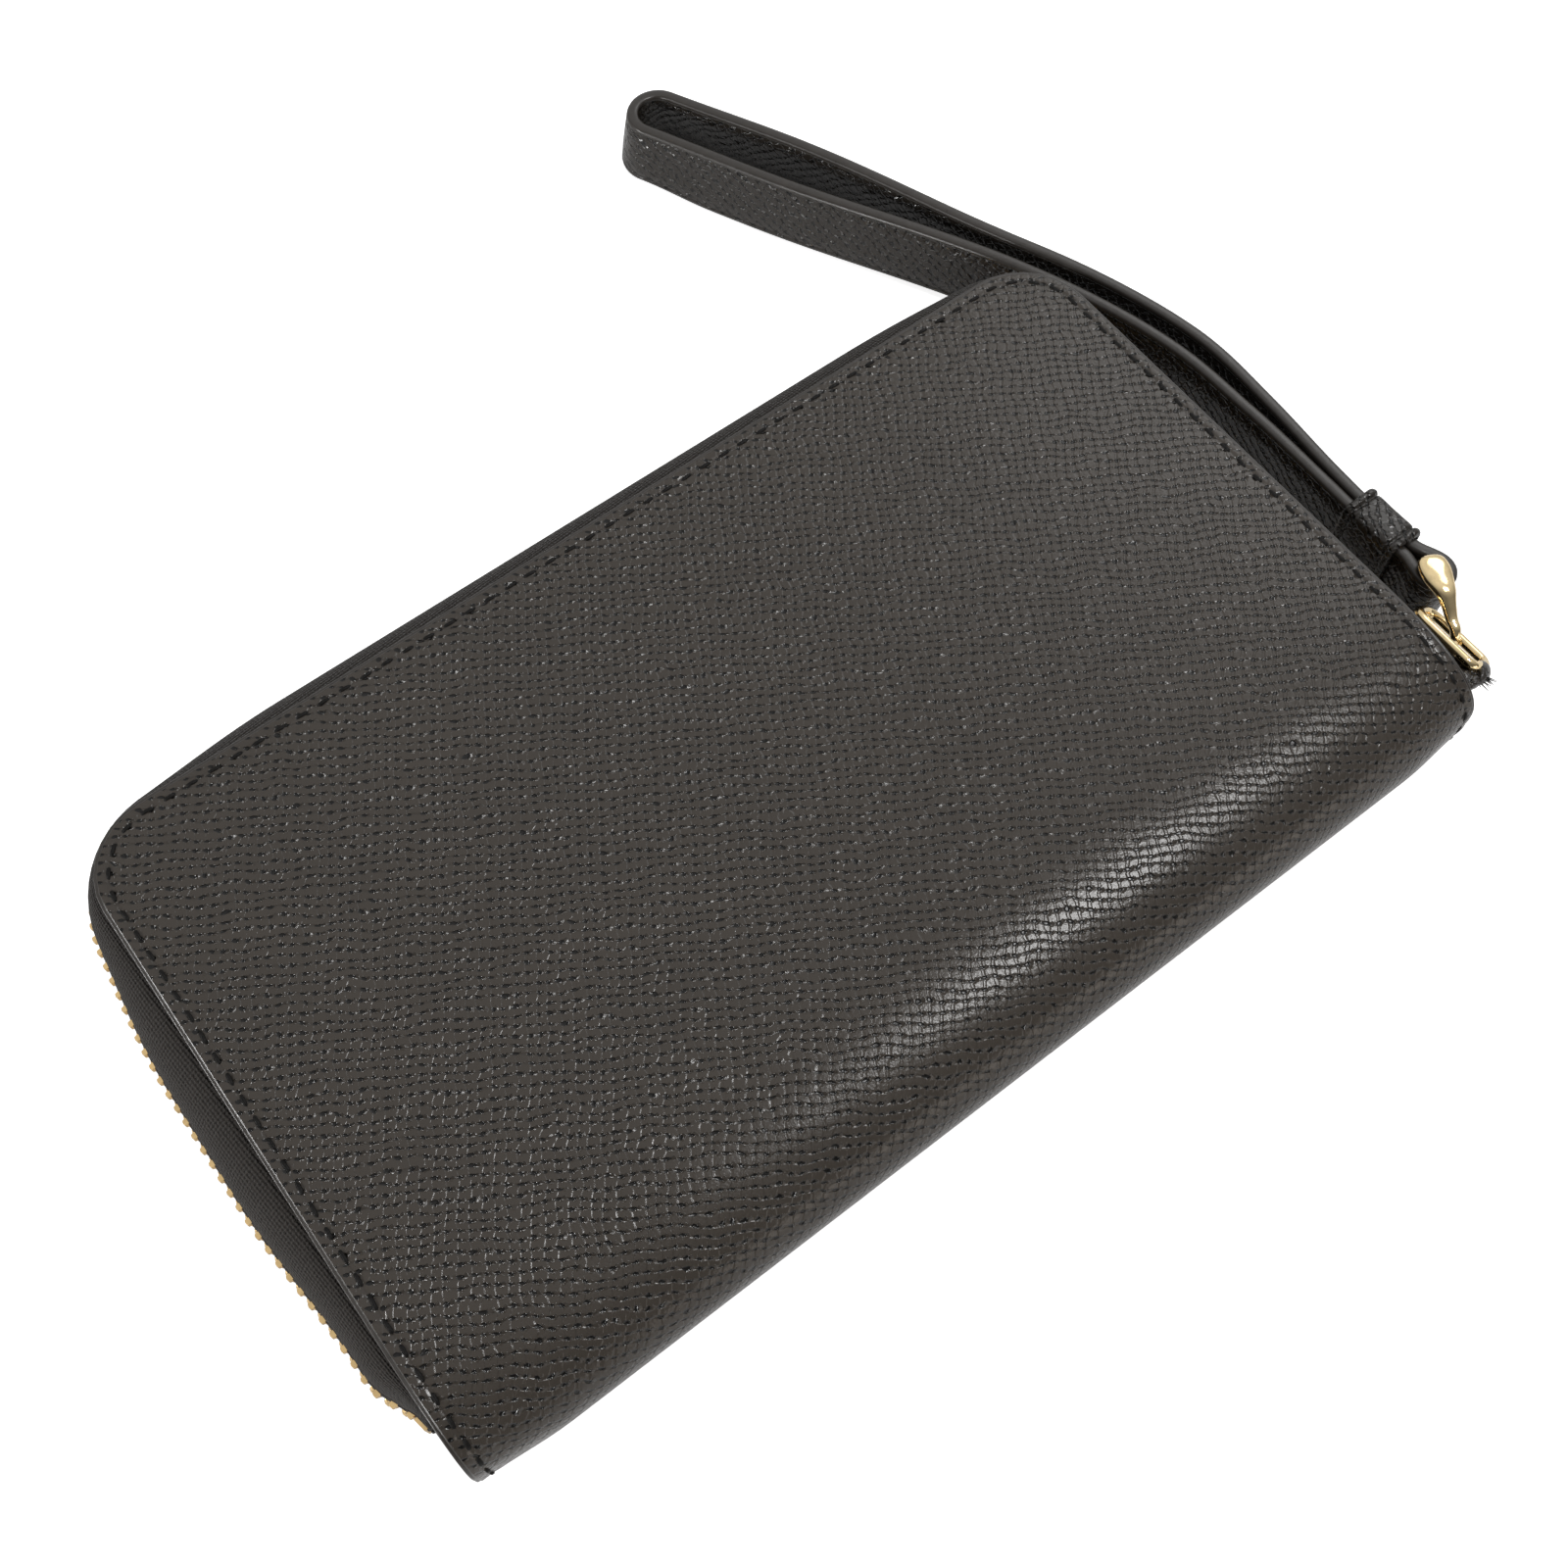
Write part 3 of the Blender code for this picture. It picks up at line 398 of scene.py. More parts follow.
def grained_leather(name, turn, pitch, jitter, press, specular, shade):
    """Embossed leather: low square cells parted by shallow grooves, with pits at their corners; painted shade
    darkens the pits and, faintly, the row grooves.
    """
    material, tree, shader = start_material(name)
    cells = surface_place(tree, turn, pitch, GRAIN_SQUEEZE)
    place = cells
    for scale, reach in ((0.3, 1.3), (0.9, jitter)):
        wander = shader_node(tree, "TexNoise", {"Vector": cells, "Scale": scale, "Detail": 1.0})
        drift = wander.outputs["Color"]
        inputs = {0: drift, 1: (reach, reach, 0), 2: place}
        place = shader_node(tree, "VectorMath", inputs, operation="MULTIPLY_ADD").outputs[0]
    bead = grain_beads(tree, place)
    turns = shader_node(tree, "VectorMath", {0: place, "Scale": 2 * math.pi}, operation="SCALE").outputs[0]
    parts = shader_node(tree, "SeparateXYZ", {0: turns})
    column = calculate(tree, "COSINE", parts.outputs[0])
    row = calculate(tree, "COSINE", parts.outputs[1])
    groove = ramp(tree, calculate(tree, "MAXIMUM", column, row), 0.3, 1.0)
    uneven = shader_node(tree, "TexNoise", {"Vector": cells, "Scale": 0.8, "Detail": 1.0}).outputs[0]
    fine = shader_node(tree, "TexNoise", {"Vector": cells, "Scale": 4.0, "Detail": 2.0}).outputs[0]
    corner = calculate(tree, "MULTIPLY_ADD", column, 0.7, calculate(tree, "MULTIPLY_ADD", row, 1.3, uneven))
    pit = ramp(tree, corner, 1.3, 2.5)
    raised = calculate(tree, "MULTIPLY", bead, ramp(tree, uneven, 0.2, 0.55))
    height = calculate(tree, "MULTIPLY", fine, 0.16)
    for level, share in ((groove, -0.28), (pit, -0.5), (raised, BEAD_SHARE)):
        height = calculate(tree, "MULTIPLY_ADD", level, share, height)
    add_bump(tree, shader, height, GRAIN_HEIGHT * press)
    cloud = shader_node(tree, "TexNoise", {"Vector": cells, "Scale": 0.08, "Detail": 3.0}).outputs[0]
    body = mix_colour(tree, cloud, [0.86 * value for value in shade], [1.14 * value for value in shade])
    # Painted shade: the base colour is pulled toward near black in the pits and, more faintly, along the row
    # grooves, standing in for the shade that falls into these hollows.
    dark = calculate(tree, "MULTIPLY_ADD", ramp(tree, row, 0.4, 1.0), 0.2, ramp(tree, pit, 0.0, 0.5))
    tree.links.new(mix_colour(tree, dark, body, (0.003, 0.0026, 0.0023)), shader.inputs["Base Color"])
    tree.links.new(calculate(tree, "MULTIPLY_ADD", fine, 0.12, 0.15), shader.inputs["Roughness"])
    shader.inputs["Specular IOR Level"].default_value = specular
    return material


def painted_edge(name):
    """Edge paint: smooth, warm grey, slightly uneven."""
    material, tree, shader = start_material(name)
    place = object_place(tree, 1000)
    uneven = shader_node(tree, "TexNoise", {"Vector": place, "Scale": 0.9, "Detail": 3.0}).outputs[0]
    colour = mix_colour(tree, uneven, (0.021, 0.0178, 0.0150), (0.036, 0.0307, 0.0262))
    tree.links.new(colour, shader.inputs["Base Color"])
    tree.links.new(calculate(tree, "MULTIPLY_ADD", uneven, 0.2, 0.22), shader.inputs["Roughness"])
    add_bump(tree, shader, uneven, 0.00004)
    return material


def woven_cloth(name, colour, thread, slant=0.0):
    """Plain or twill weave on the surface coordinates, thread being one yarn's width."""
    material, tree, shader = start_material(name)
    cells = surface_place(tree, slant, thread)
    parts = shader_node(tree, "SeparateXYZ", {0: cells})
    warp = calculate(tree, "SINE", calculate(tree, "MULTIPLY", parts.outputs[0], math.pi))
    weft = calculate(tree, "SINE", calculate(tree, "MULTIPLY", parts.outputs[1], math.pi))
    woven = calculate(tree, "MULTIPLY", warp, weft)
    fuzz = shader_node(tree, "TexNoise", {"Vector": cells, "Scale": 1.1, "Detail": 4.0}).outputs[0]
    height = calculate(tree, "MULTIPLY_ADD", woven, 0.4, calculate(tree, "MULTIPLY", fuzz, 1.2))
    add_bump(tree, shader, height, thread * 0.8)
    dark = tuple(value * 0.3 for value in colour)
    tree.links.new(mix_colour(tree, ramp(tree, height, -0.1, 0.9), dark, colour), shader.inputs["Base Color"])
    shader.inputs["Roughness"].default_value = 0.8
    shader.inputs["Specular IOR Level"].default_value = 0.15
    shader.inputs["Sheen Weight"].default_value = 0.1
    shader.inputs["Sheen Roughness"].default_value = 0.4
    return material


def lining_cloth(name, colour):
    """Fine lining weave for the flat layers, on object coordinates."""
    material, tree, shader = start_material(name)
    place = object_place(tree, 1000)
    weave = shader_node(tree, "TexChecker", {"Vector": place, "Scale": 3.2}).outputs["Fac"]
    fuzz = shader_node(tree, "TexNoise", {"Vector": place, "Scale": 2.0, "Detail": 4.0}).outputs[0]
    height = calculate(tree, "MULTIPLY_ADD", weave, 0.35, fuzz)
    add_bump(tree, shader, height, 0.00008)
    dark = tuple(value * 0.6 for value in colour)
    tree.links.new(mix_colour(tree, ramp(tree, height, 0.2, 1.0), dark, colour), shader.inputs["Base Color"])
    shader.inputs["Roughness"].default_value = 0.8
    return material


def pocket_leather(name):
    """Thin smooth leather with a fine random grain."""
    material, tree, shader = start_material(name)
    place = object_place(tree, 1000)
    grain = shader_node(tree, "TexVoronoi", {"Vector": place, "Scale": 1.6}).outputs["Distance"]
    add_bump(tree, shader, grain, 0.00008)
    colour = mix_colour(tree, grain, (0.040, 0.036, 0.034), (0.024, 0.022, 0.021))
    tree.links.new(colour, shader.inputs["Base Color"])
    tree.links.new(calculate(tree, "MULTIPLY_ADD", grain, 0.25, 0.38), shader.inputs["Roughness"])
    return material


def metal(name, colour, roughness, scratch):
    """Plated metal with a faint uneven polish."""
    material, tree, shader = start_material(name, metallic=1.0)
    place = object_place(tree, 1000)
    wear = shader_node(tree, "TexNoise", {"Vector": place, "Scale": 0.6, "Detail": 5.0}).outputs[0]
    dull = tuple(value * 0.82 for value in colour)
    tree.links.new(mix_colour(tree, ramp(tree, wear, 0.35, 0.75), colour, dull), shader.inputs["Base Color"])
    tree.links.new(calculate(tree, "MULTIPLY_ADD", wear, scratch, roughness), shader.inputs["Roughness"])
    return material


def board_stock(name):
    material, tree, shader = start_material(name)
    place = object_place(tree, 1000)
    fibre = shader_node(tree, "TexNoise", {"Vector": place, "Scale": 0.8, "Detail": 6.0}).outputs[0]
    colour = mix_colour(tree, fibre, (0.36, 0.31, 0.25), (0.50, 0.45, 0.37))
    tree.links.new(colour, shader.inputs["Base Color"])
    shader.inputs["Roughness"].default_value = 0.9
    add_bump(tree, shader, fibre, 0.00005)
    return material


def thread_material(name):
    material, tree, shader = start_material(name)
    place = object_place(tree, 1000)
    twist = shader_node(tree, "TexNoise", {"Vector": place, "Scale": 5.0, "Detail": 2.0}).outputs[0]
    colour = mix_colour(tree, twist, (0.003, 0.003, 0.003), (0.012, 0.011, 0.010))
    tree.links.new(colour, shader.inputs["Base Color"])
    shader.inputs["Roughness"].default_value = 0.5
    shader.inputs["Specular IOR Level"].default_value = 0.12
    add_bump(tree, shader, twist, 0.00006)
    return material


HIDE_LEATHER = grained_leather("hide_leather", GRAIN_TURN, 0.00158, 0.5, 1.0, 0.35, (0.045, 0.0378, 0.031))
BORDER_LEATHER = grained_leather(
    "border_leather", GRAIN_TURN, 0.00158, 0.5, 0.5, 0.35, (0.044, 0.037, 0.0305))
STRAP_LEATHER = grained_leather(
    "strap_leather", GRAIN_TURN + math.pi, 0.0017, 0.9, 1.1, 0.42, (0.021, 0.0172, 0.0138))
EDGE_PAINT = painted_edge("edge_paint")
TAPE_CLOTH = woven_cloth("tape_cloth", (0.032, 0.0278, 0.0243), 0.00042, math.radians(38))
LINING = lining_cloth("lining", (0.055, 0.05, 0.046))
POCKETS = pocket_leather("pocket_skin")
BRASS = metal("tooth_brass", (0.90, 0.64, 0.31), 0.2, 0.12)
GOLD = metal("plated_gold", (0.94, 0.74, 0.42), 0.08, 0.08)
BOARD = board_stock("board")
BLACK_THREAD = thread_material("black_thread")


# Leather hide, one piece round the spine

def roll_section():
    """(distance, place, outward) rows from the spine's middle up its full round to the flat cover."""
    section = []
    distance = 0.0
    for index in range(ROLL_STEPS + 1):
        angle = math.pi / 2 * index / ROLL_STEPS
        u = math.cos(angle) ** (2 / ROLL_POWER)
        w = math.sin(angle) ** (2 / ROLL_POWER)
        place = Vector((SPINE_LINE + ROLL * (1 - u), MIDDLE * w))
        outward = Vector((-u ** (ROLL_POWER - 1) / ROLL, w ** (ROLL_POWER - 1) / MIDDLE)).normalized()
        if section:
            distance += (place - section[-1][1]).length
        section.append((distance, place, outward))
    return section


ROLL_SECTION = roll_section()
ROLL_STOPS = [row[0] for row in ROLL_SECTION]
BEND = ROLL_STOPS[-1]
HIDE_END = BEND + FAR_EDGE - SPINE_LINE - ROLL


def hide_place(x, along, depth):
    """Place on the hide by its distance from the spine line (front positive) and depth under the face."""
    side = 1 if along >= 0 else -1
    run = abs(along)
    if run >= BEND:
        return Vector((x, SPINE_LINE + ROLL + run - BEND, MIDDLE + side * (MIDDLE - depth)))
    after = max(1, bisect.bisect_left(ROLL_STOPS, run))
    (near, start, out), (far, end, out_after) = ROLL_SECTION[after - 1:after + 1]
    share = (run - near) / (far - near)
    y, rise = start.lerp(end, share) - out.lerp(out_after, share).normalized() * depth
    end_share = smooth_step((abs(x) - HALF_LENGTH + PINCH_LENGTH) / PINCH_LENGTH)
    return Vector((x, y + PINCH * end_share * (1 - run / BEND) ** 2, MIDDLE + side * rise))


def cover_height(y):
    """Height of the front cover's outer face, which falls away over the rolled spine."""
    inward = max(0.0, 1 - (y - SPINE_LINE) / ROLL)
    return MIDDLE + MIDDLE * (1 - inward ** ROLL_POWER) ** (1 / ROLL_POWER)


def cover_wave(x, along):
    """Slight unevenness of the front cover and soft creases over its fold, fading out at the rim."""
    edge = min(HALF_LENGTH - abs(x), HIDE_END - along, along)
    lift = WAVE_HEIGHT * noise.noise(Vector((x / WAVE_LENGTH, along / WAVE_LENGTH, 0.3)))
    near_fold = math.exp(-((along - CREASE_RUN) / CREASE_REACH) ** 2)
    crease = noise.noise(Vector(((x + 0.5 * along) / CREASE_LENGTH, along / CREASE_LENGTH / 2, 0.7)))
    return (lift + CREASE_HEIGHT * near_fold * crease) * smooth_step((edge - 0.004) / 0.02)


def hide_rows():
    """(distance along the hide, half width, outward way at the right end) of each row inside the rim."""
    inner_radius = CORNER_RADIUS - RIM_WIDTH
    straight = HIDE_END - CORNER_RADIUS
    rows = [(BEND * index / SPINE_ROWS, 0.0) for index in range(SPINE_ROWS)]
    rows += [(BEND + (straight - BEND) * index / FLAT_ROWS, 0.0) for index in range(FLAT_ROWS)]
    for index in range(ARC_ROWS + 1):
        angle = math.pi / 2 * index / ARC_ROWS
        rows.append((straight + inner_radius * math.sin(angle), angle))
    both = [(-along, -angle) for along, angle in reversed(rows[1:])] + rows
    flat_half = HALF_LENGTH - CORNER_RADIUS
    return [(along, flat_half + inner_radius * math.cos(angle), angle) for along, angle in both]


RIM_PROFILE = (
    (0.0044, 0.0), (0.0030, 0.0), (0.0025, 0.00005), (0.0022, 0.0002), (0.0019, 0.00005), (0.0016, 0.0),
    (0.0010, 0.0), (0.0007, 0.0), (0.00066, 0.000015), (0.00055, 0.000085), (0.00052, 0.00011),
    (0.0005, 0.00015), (0.00046, 0.000165), (0.00038, 0.000165), (0.00033, 0.000155), (0.00028, 0.00015),
    (0.0002, 0.00016), (0.00012, 0.000195), (0.00006, 0.00025), (0.000012, 0.00037), (0.0, 0.0007),
    (0.00012, 0.00128), (0.0006, LEATHER), (0.002, LEATHER),
)
BORDER_FROM = 5
PAINT_FROM = 9
PAINT_TO = 22


def fold_with_covers(piece):
    """Bakes the placement of a piece that runs round the spine bend into its mesh; the fold line's ends are
    worked out but not used.
    """
    start, end = (0, SPINE_LINE, MIDDLE - FOLD_HALF), (0, SPINE_LINE, MIDDLE + FOLD_HALF)
    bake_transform(piece)
    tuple(start)
    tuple(end)


def make_hide():
    rows = hide_rows()
    columns = HIDE_COLUMNS
    places, flat = [], []

    def add(x, along, depth):
        places.append(hide_place(x, along, depth - cover_wave(x, along)))
        flat.append((x, along))
        return len(places) - 1

    grids = []
    for depth in (0.0, LEATHER):
        grid = []
        for along, half, _ in rows:
            grid.append([add(half * (2 * c / columns - 1), along, depth) for c in range(columns + 1)])
        grids.append(grid)
    last = len(rows) - 1
    border = [(r, columns, Vector((math.cos(rows[r][2]), math.sin(rows[r][2])))) for r in range(last + 1)]
    border += [(last, c, Vector((0, 1))) for c in range(columns - 1, 0, -1)]
    border += [(r, 0, Vector((-math.cos(rows[r][2]), math.sin(rows[r][2])))) for r in range(last, -1, -1)]
    border += [(0, c, Vector((0, -1))) for c in range(1, columns)]
    rings = [[grids[0][r][c] for r, c, _ in border]]
    for inset, depth in RIM_PROFILE:
        ring = []
        for r, c, out in border:
            start = flat[grids[0][r][c]]
            x, along = start[0] + out.x * (RIM_WIDTH - inset), start[1] + out.y * (RIM_WIDTH - inset)
            ring.append(add(x, along, depth))
        rings.append(ring)
    rings.append([grids[1][r][c] for r, c, _ in border])
    faces, slots = [], []
    for grid, slot in ((grids[0], 0), (grids[1], 3)):
        for low, high in zip(grid, grid[1:]):
            for c in range(columns):
                faces.append((low[c], low[c + 1], high[c + 1], high[c]))
                slots.append(slot)
    for number, (near, far) in enumerate(zip(rings, rings[1:])):
        slot = bisect.bisect_right((BORDER_FROM, PAINT_FROM, PAINT_TO), number)
        for index in range(len(border)):
            following = (index + 1) % len(border)
            faces.append((near[index], near[following], far[following], far[index]))
            slots.append(slot)
    uvs = [flat[corner] for face in faces for corner in face]
    materials = [HIDE_LEATHER, BORDER_LEATHER, EDGE_PAINT, LINING]
    hide = turn_outward(new_object("leather_hide", places, faces, materials, slots, uvs))
    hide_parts("front_leather", "back_leather")
    fold_with_covers(hide)


def make_spine_lining():
    """Cloth that carries the lining round the inside of the spine."""
    depth, ply, reach = LEATHER + 0.0005, 0.0004, BEND + 0.006
    half = HALF_LENGTH - 0.0012
    count, columns = 36, 24
    places, flat = [], []
    for level in (depth, depth + ply):
        for row in range(count + 1):
            along = reach * (2 * row / count - 1)
            for column in range(columns + 1):
                x = half * (2 * column / columns - 1)
                places.append(hide_place(x, along, level))
                flat.append((x, along))
    width = columns + 1
    layer = width * (count + 1)
    faces = []
    for start in (0, layer):
        for row in range(count):
            for column in range(columns):
                low = start + row * width + column
                faces.append((low, low + 1, low + width + 1, low + width))
    border = list(range(width)) + [row * width + columns for row in range(1, count + 1)]
    border += [count * width + column for column in range(columns - 1, -1, -1)]
    border += [row * width for row in range(count - 1, 0, -1)]
    for near, far in zip(border, border[1:] + border[:1]):
        faces.append((near, far, far + layer, near + layer))
    uvs = [flat[corner] for face in faces for corner in face]
    made = turn_outward(new_object("spine_lining", places, faces, [LINING], None, uvs))
    fold_with_covers(made)


# Stitching

def sewn_line(inset):
    """Closed flat line round the whole hide, parallel to its edge."""
    radius = CORNER_RADIUS - inset
    side, straight = HALF_LENGTH - CORNER_RADIUS, HIDE_END - CORNER_RADIUS
    line = []
    corners = ((side, straight, 0), (-side, straight, 90), (-side, -straight, 180), (side, -straight, 270))
    for x, along, start in corners:
        for index in range(13):
            angle = math.radians(start + 90 * index / 12)
            line.append((x + radius * math.cos(angle), along + radius * math.sin(angle)))
    return line + line[:1]


def spread(line, pitch, first=0.0):
    """Evenly spaced (point, direction) along a flat line."""
    marks, travelled, wanted = [], 0.0, first
    for near, far in zip(line, line[1:]):
        near, far = Vector(near), Vector(far)
        length = (far - near).length
        while length > 0 and travelled + length >= wanted:
            share = (wanted - travelled) / length
            marks.append((near.lerp(far, share), (far - near) / length))
            wanted += pitch
        travelled += length
    return marks


def thread_stitches(name, marks, place):
    """Short sunk threads that dive into needle holes; place(flat point, depth) gives the sewn surface."""
    steps, sides = 6, 6
    dice = random.Random(name)
    points, faces = [], []
    for at, way in marks:
        across = Vector((-way.y, way.x))
        lean = dice.uniform(-0.10, 0.10)
        length = STITCH_LENGTH * dice.uniform(0.92, 1.05)
        rows = []
        for step in range(steps + 1):
            share = 2 * step / steps - 1
            sink = 0.00042 * share ** 4 - 0.00002
            thick = THREAD * (1 - 0.45 * share ** 4)
            centre = at + way * (share * length / 2) + across * (share * lean * length / 2)
            row = []
            for side in range(sides):
                angle = 2 * math.pi * side / sides
                spot = centre + across * (thick / 2 * math.cos(angle))
                row.append(place(spot, sink - thick / 2 * math.sin(angle) * 0.8))
            rows.append(row)
        base = len(points)
        points += [point for row in rows for point in row]
        for step in range(steps):
            for side in range(sides):
                following = (side + 1) % sides
                near, far = base + step * sides, base + (step + 1) * sides
                faces.append((near + side, near + following, far + following, far + side))
        faces.append(tuple(range(base, base + sides)))
        faces.append(tuple(range(base + steps * sides, base + (steps + 1) * sides)))
    made = turn_outward(new_object(name, points, faces, [BLACK_THREAD]))
    return made


def make_cover_stitches():
    def place(spot, depth):
        return hide_place(spot.x, spot.y, depth + STITCH_SINK)

    marks = spread(sewn_line(STITCH_INSET), STITCH_PITCH)
    fold_with_covers(thread_stitches("cover_stitches", marks, place))


# Zip

def zip_frame(run):
    """Place on the cover's edge and the outward direction, at a distance along the zip from its left end."""
    corner = Vector((HALF_LENGTH - CORNER_RADIUS, FAR_EDGE - CORNER_RADIUS))
    if run < SIDE_RUN:
        return Vector((-HALF_LENGTH, corner.y - SIDE_RUN + run)), Vector((-1, 0))
    run -= SIDE_RUN
    if run < CORNER_RUN:
        angle = math.pi - math.pi / 2 * run / CORNER_RUN
        out = Vector((math.cos(angle), math.sin(angle)))
        return Vector((-corner.x, corner.y)) + out * CORNER_RADIUS, out
    run -= CORNER_RUN
    if run < FAR_RUN:
        return Vector((-corner.x + run, FAR_EDGE)), Vector((0, 1))
    run -= FAR_RUN
    if run < CORNER_RUN:
        angle = math.pi / 2 - math.pi / 2 * run / CORNER_RUN
        out = Vector((math.cos(angle), math.sin(angle)))
        return corner + out * CORNER_RADIUS, out
    run -= CORNER_RUN
    return Vector((HALF_LENGTH, corner.y - run)), Vector((1, 0))


def zip_point(run, out, z, front):
    edge, direction = zip_frame(run)
    place = edge + direction * out
    return Vector((place.x, place.y, z if front else THICKNESS - z))


def tape_profile(bulge, level):
    """Section of the upper tape with a corded edge: flat under the cover, then out and down to the teeth."""
    steps = 14
    start, end = Vector((TAPE_LIP, level)), Vector((bulge, TAPE_END))
    lead = Vector((TAPE_LIP + TAPE_ROUNDING * (bulge - TAPE_LIP), level))
    trail = Vector((bulge, TAPE_END + TAPE_ROUNDING * (level - TAPE_END)))
    middle = [(Vector((-TAPE_SEAM, level)), TAPE)]
    for index in range(steps + 1):
        t = index / steps
        near, far = start.lerp(lead, t), trail.lerp(end, t)
        turn = lead.lerp(trail, t)
        middle.append((near.lerp(turn, t).lerp(turn.lerp(far, t), t), TAPE))
    for drop, thick in ((0.00025, 0.0009), (0.0006, 0.0013), (0.0010, 0.0013), (0.0013, 0.0007)):
        middle.append((Vector((bulge, TAPE_END - drop)), thick))
    outer, inner = [], []
    for index, (point, thick) in enumerate(middle):
        direction = middle[min(index + 1, len(middle) - 1)][0] - middle[max(index - 1, 0)][0]
        side = Vector((-direction.y, direction.x)).normalized() * (thick / 2)
        outer.append(point + side)
        inner.append(point - side)
    return outer + inner[::-1]


def zip_stations(step):
    count = math.ceil(ZIP_RUN / step)
    return [ZIP_RUN * index / count for index in range(count + 1)]


def make_tapes():
    stations = zip_stations(0.0025)
    for front, side, body in ((True, "upper", "front"), (False, "lower", "back")):
        rows = []
        for run in stations:
            level = cover_height(zip_frame(run)[0].y) - TAPE_DEPTH
            profile = tape_profile(ease(BULGE_KEYS, run), level)
            rows.append([zip_point(run, point.x, point.y, front) for point in profile])
        made = sweep(side + "_tape", rows, stations, loop_widths(rows[len(rows) // 2]), [TAPE_CLOTH])
        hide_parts(side + "_zip_tape")
        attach(made, body)


# Height share from clamp to tip, half width along the zip and half depth across it,
# in tooth widths and millimetres
TOOTH_SECTIONS = (
    (0.00, 0.48, 0.00112), (0.08, 0.54, 0.00122), (0.42, 0.54, 0.00122), (0.52, 0.48, 0.00112),
    (0.62, 0.36, 0.00092), (0.74, 0.38, 0.00096), (0.90, 0.40, 0.00094), (1.00, 0.30, 0.00072),
)


def make_teeth():
    """Rows of cast teeth: a clamp round the tape's cord, a neck and a head that locks in the next row."""
    sides = 10
    for front, side, body, shift in ((True, "upper", "front", 0), (False, "lower", "back", TOOTH_PITCH / 2)):
        first = FIRST_TOOTH + shift
        points, faces = [], []
        for index in range(int((CHAIN_END - first) / TOOTH_PITCH)):
            run = first + index * TOOTH_PITCH + TOOTH_WIDTH / 2
            bulge = ease(BULGE_KEYS, run)
            edge, direction = zip_frame(run)
            centre = Vector((*(edge + direction * bulge), 0))
            outward = Vector((*direction, 0))
            along = UP.cross(outward)
            base = len(points)
            for share, half_width, half_depth in TOOTH_SECTIONS:
                z = CHAIN_TOP + (TOOTH_TIP - CHAIN_TOP) * share
                middle = centre + UP * (z if front else THICKNESS - z)
                points += ellipse_loop(
                    middle, along, outward, 2 * half_width * TOOTH_WIDTH, 2 * half_depth, sides, 0.4)
            for ring in range(len(TOOTH_SECTIONS) - 1):
                near, far = base + ring * sides, base + (ring + 1) * sides
                for spot in range(sides):
                    following = (spot + 1) % sides
                    faces.append((near + spot, near + following, far + following, far + spot))
            faces.append(tuple(range(base, base + sides)))
            end = base + (len(TOOTH_SECTIONS) - 1) * sides
            faces.append(tuple(range(end, end + sides)))
        made = turn_outward(new_object(side + "_teeth", points, faces, [BRASS]))
        made.data.set_sharp_from_angle(angle=math.radians(50))
        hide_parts(side + "_zip_chain")
        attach(made, body)


# Hardware

def make_ring():
    sides, steps = 16, 9
    bar_half, end_half = RING_WIDTH / 2 - RING_BAR_CORNER, RING_WIDTH / 2 - RING_END_CORNER
    end = RING_LENGTH - RING_END_CORNER
    corners = (
        (-bar_half, RING_BAR_CORNER, RING_BAR_CORNER, 180), (bar_half, RING_BAR_CORNER, RING_BAR_CORNER, 270),
        (end_half, end, RING_END_CORNER, 0), (-end_half, end, RING_END_CORNER, 90),
    )
    path = []
    for a, b, radius, start in corners:
        for index in range(steps + 1):
            angle = math.radians(start + 90 * index / steps)
            out, along = a + radius * math.cos(angle), b + radius * math.sin(angle)
            path.append(RING_BAR + RING_SHIFT + RING_AXIS * out + Vector((0, along, 0)))
    plane = RING_AXIS.cross(Vector((0, 1, 0)))
    rows = []
    for index, point in enumerate(path):
        direction = (path[(index + 1) % len(path)] - path[index - 1]).normalized()
        rows.append(ellipse_loop(point, plane, direction.cross(plane), RING_WIRE, RING_WIRE, sides))
    made = sweep("ring_wire", rows, running_length(path, True), loop_widths(rows[0]), [GOLD], closed=True)
    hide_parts("d_ring")
    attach(made, "ring")


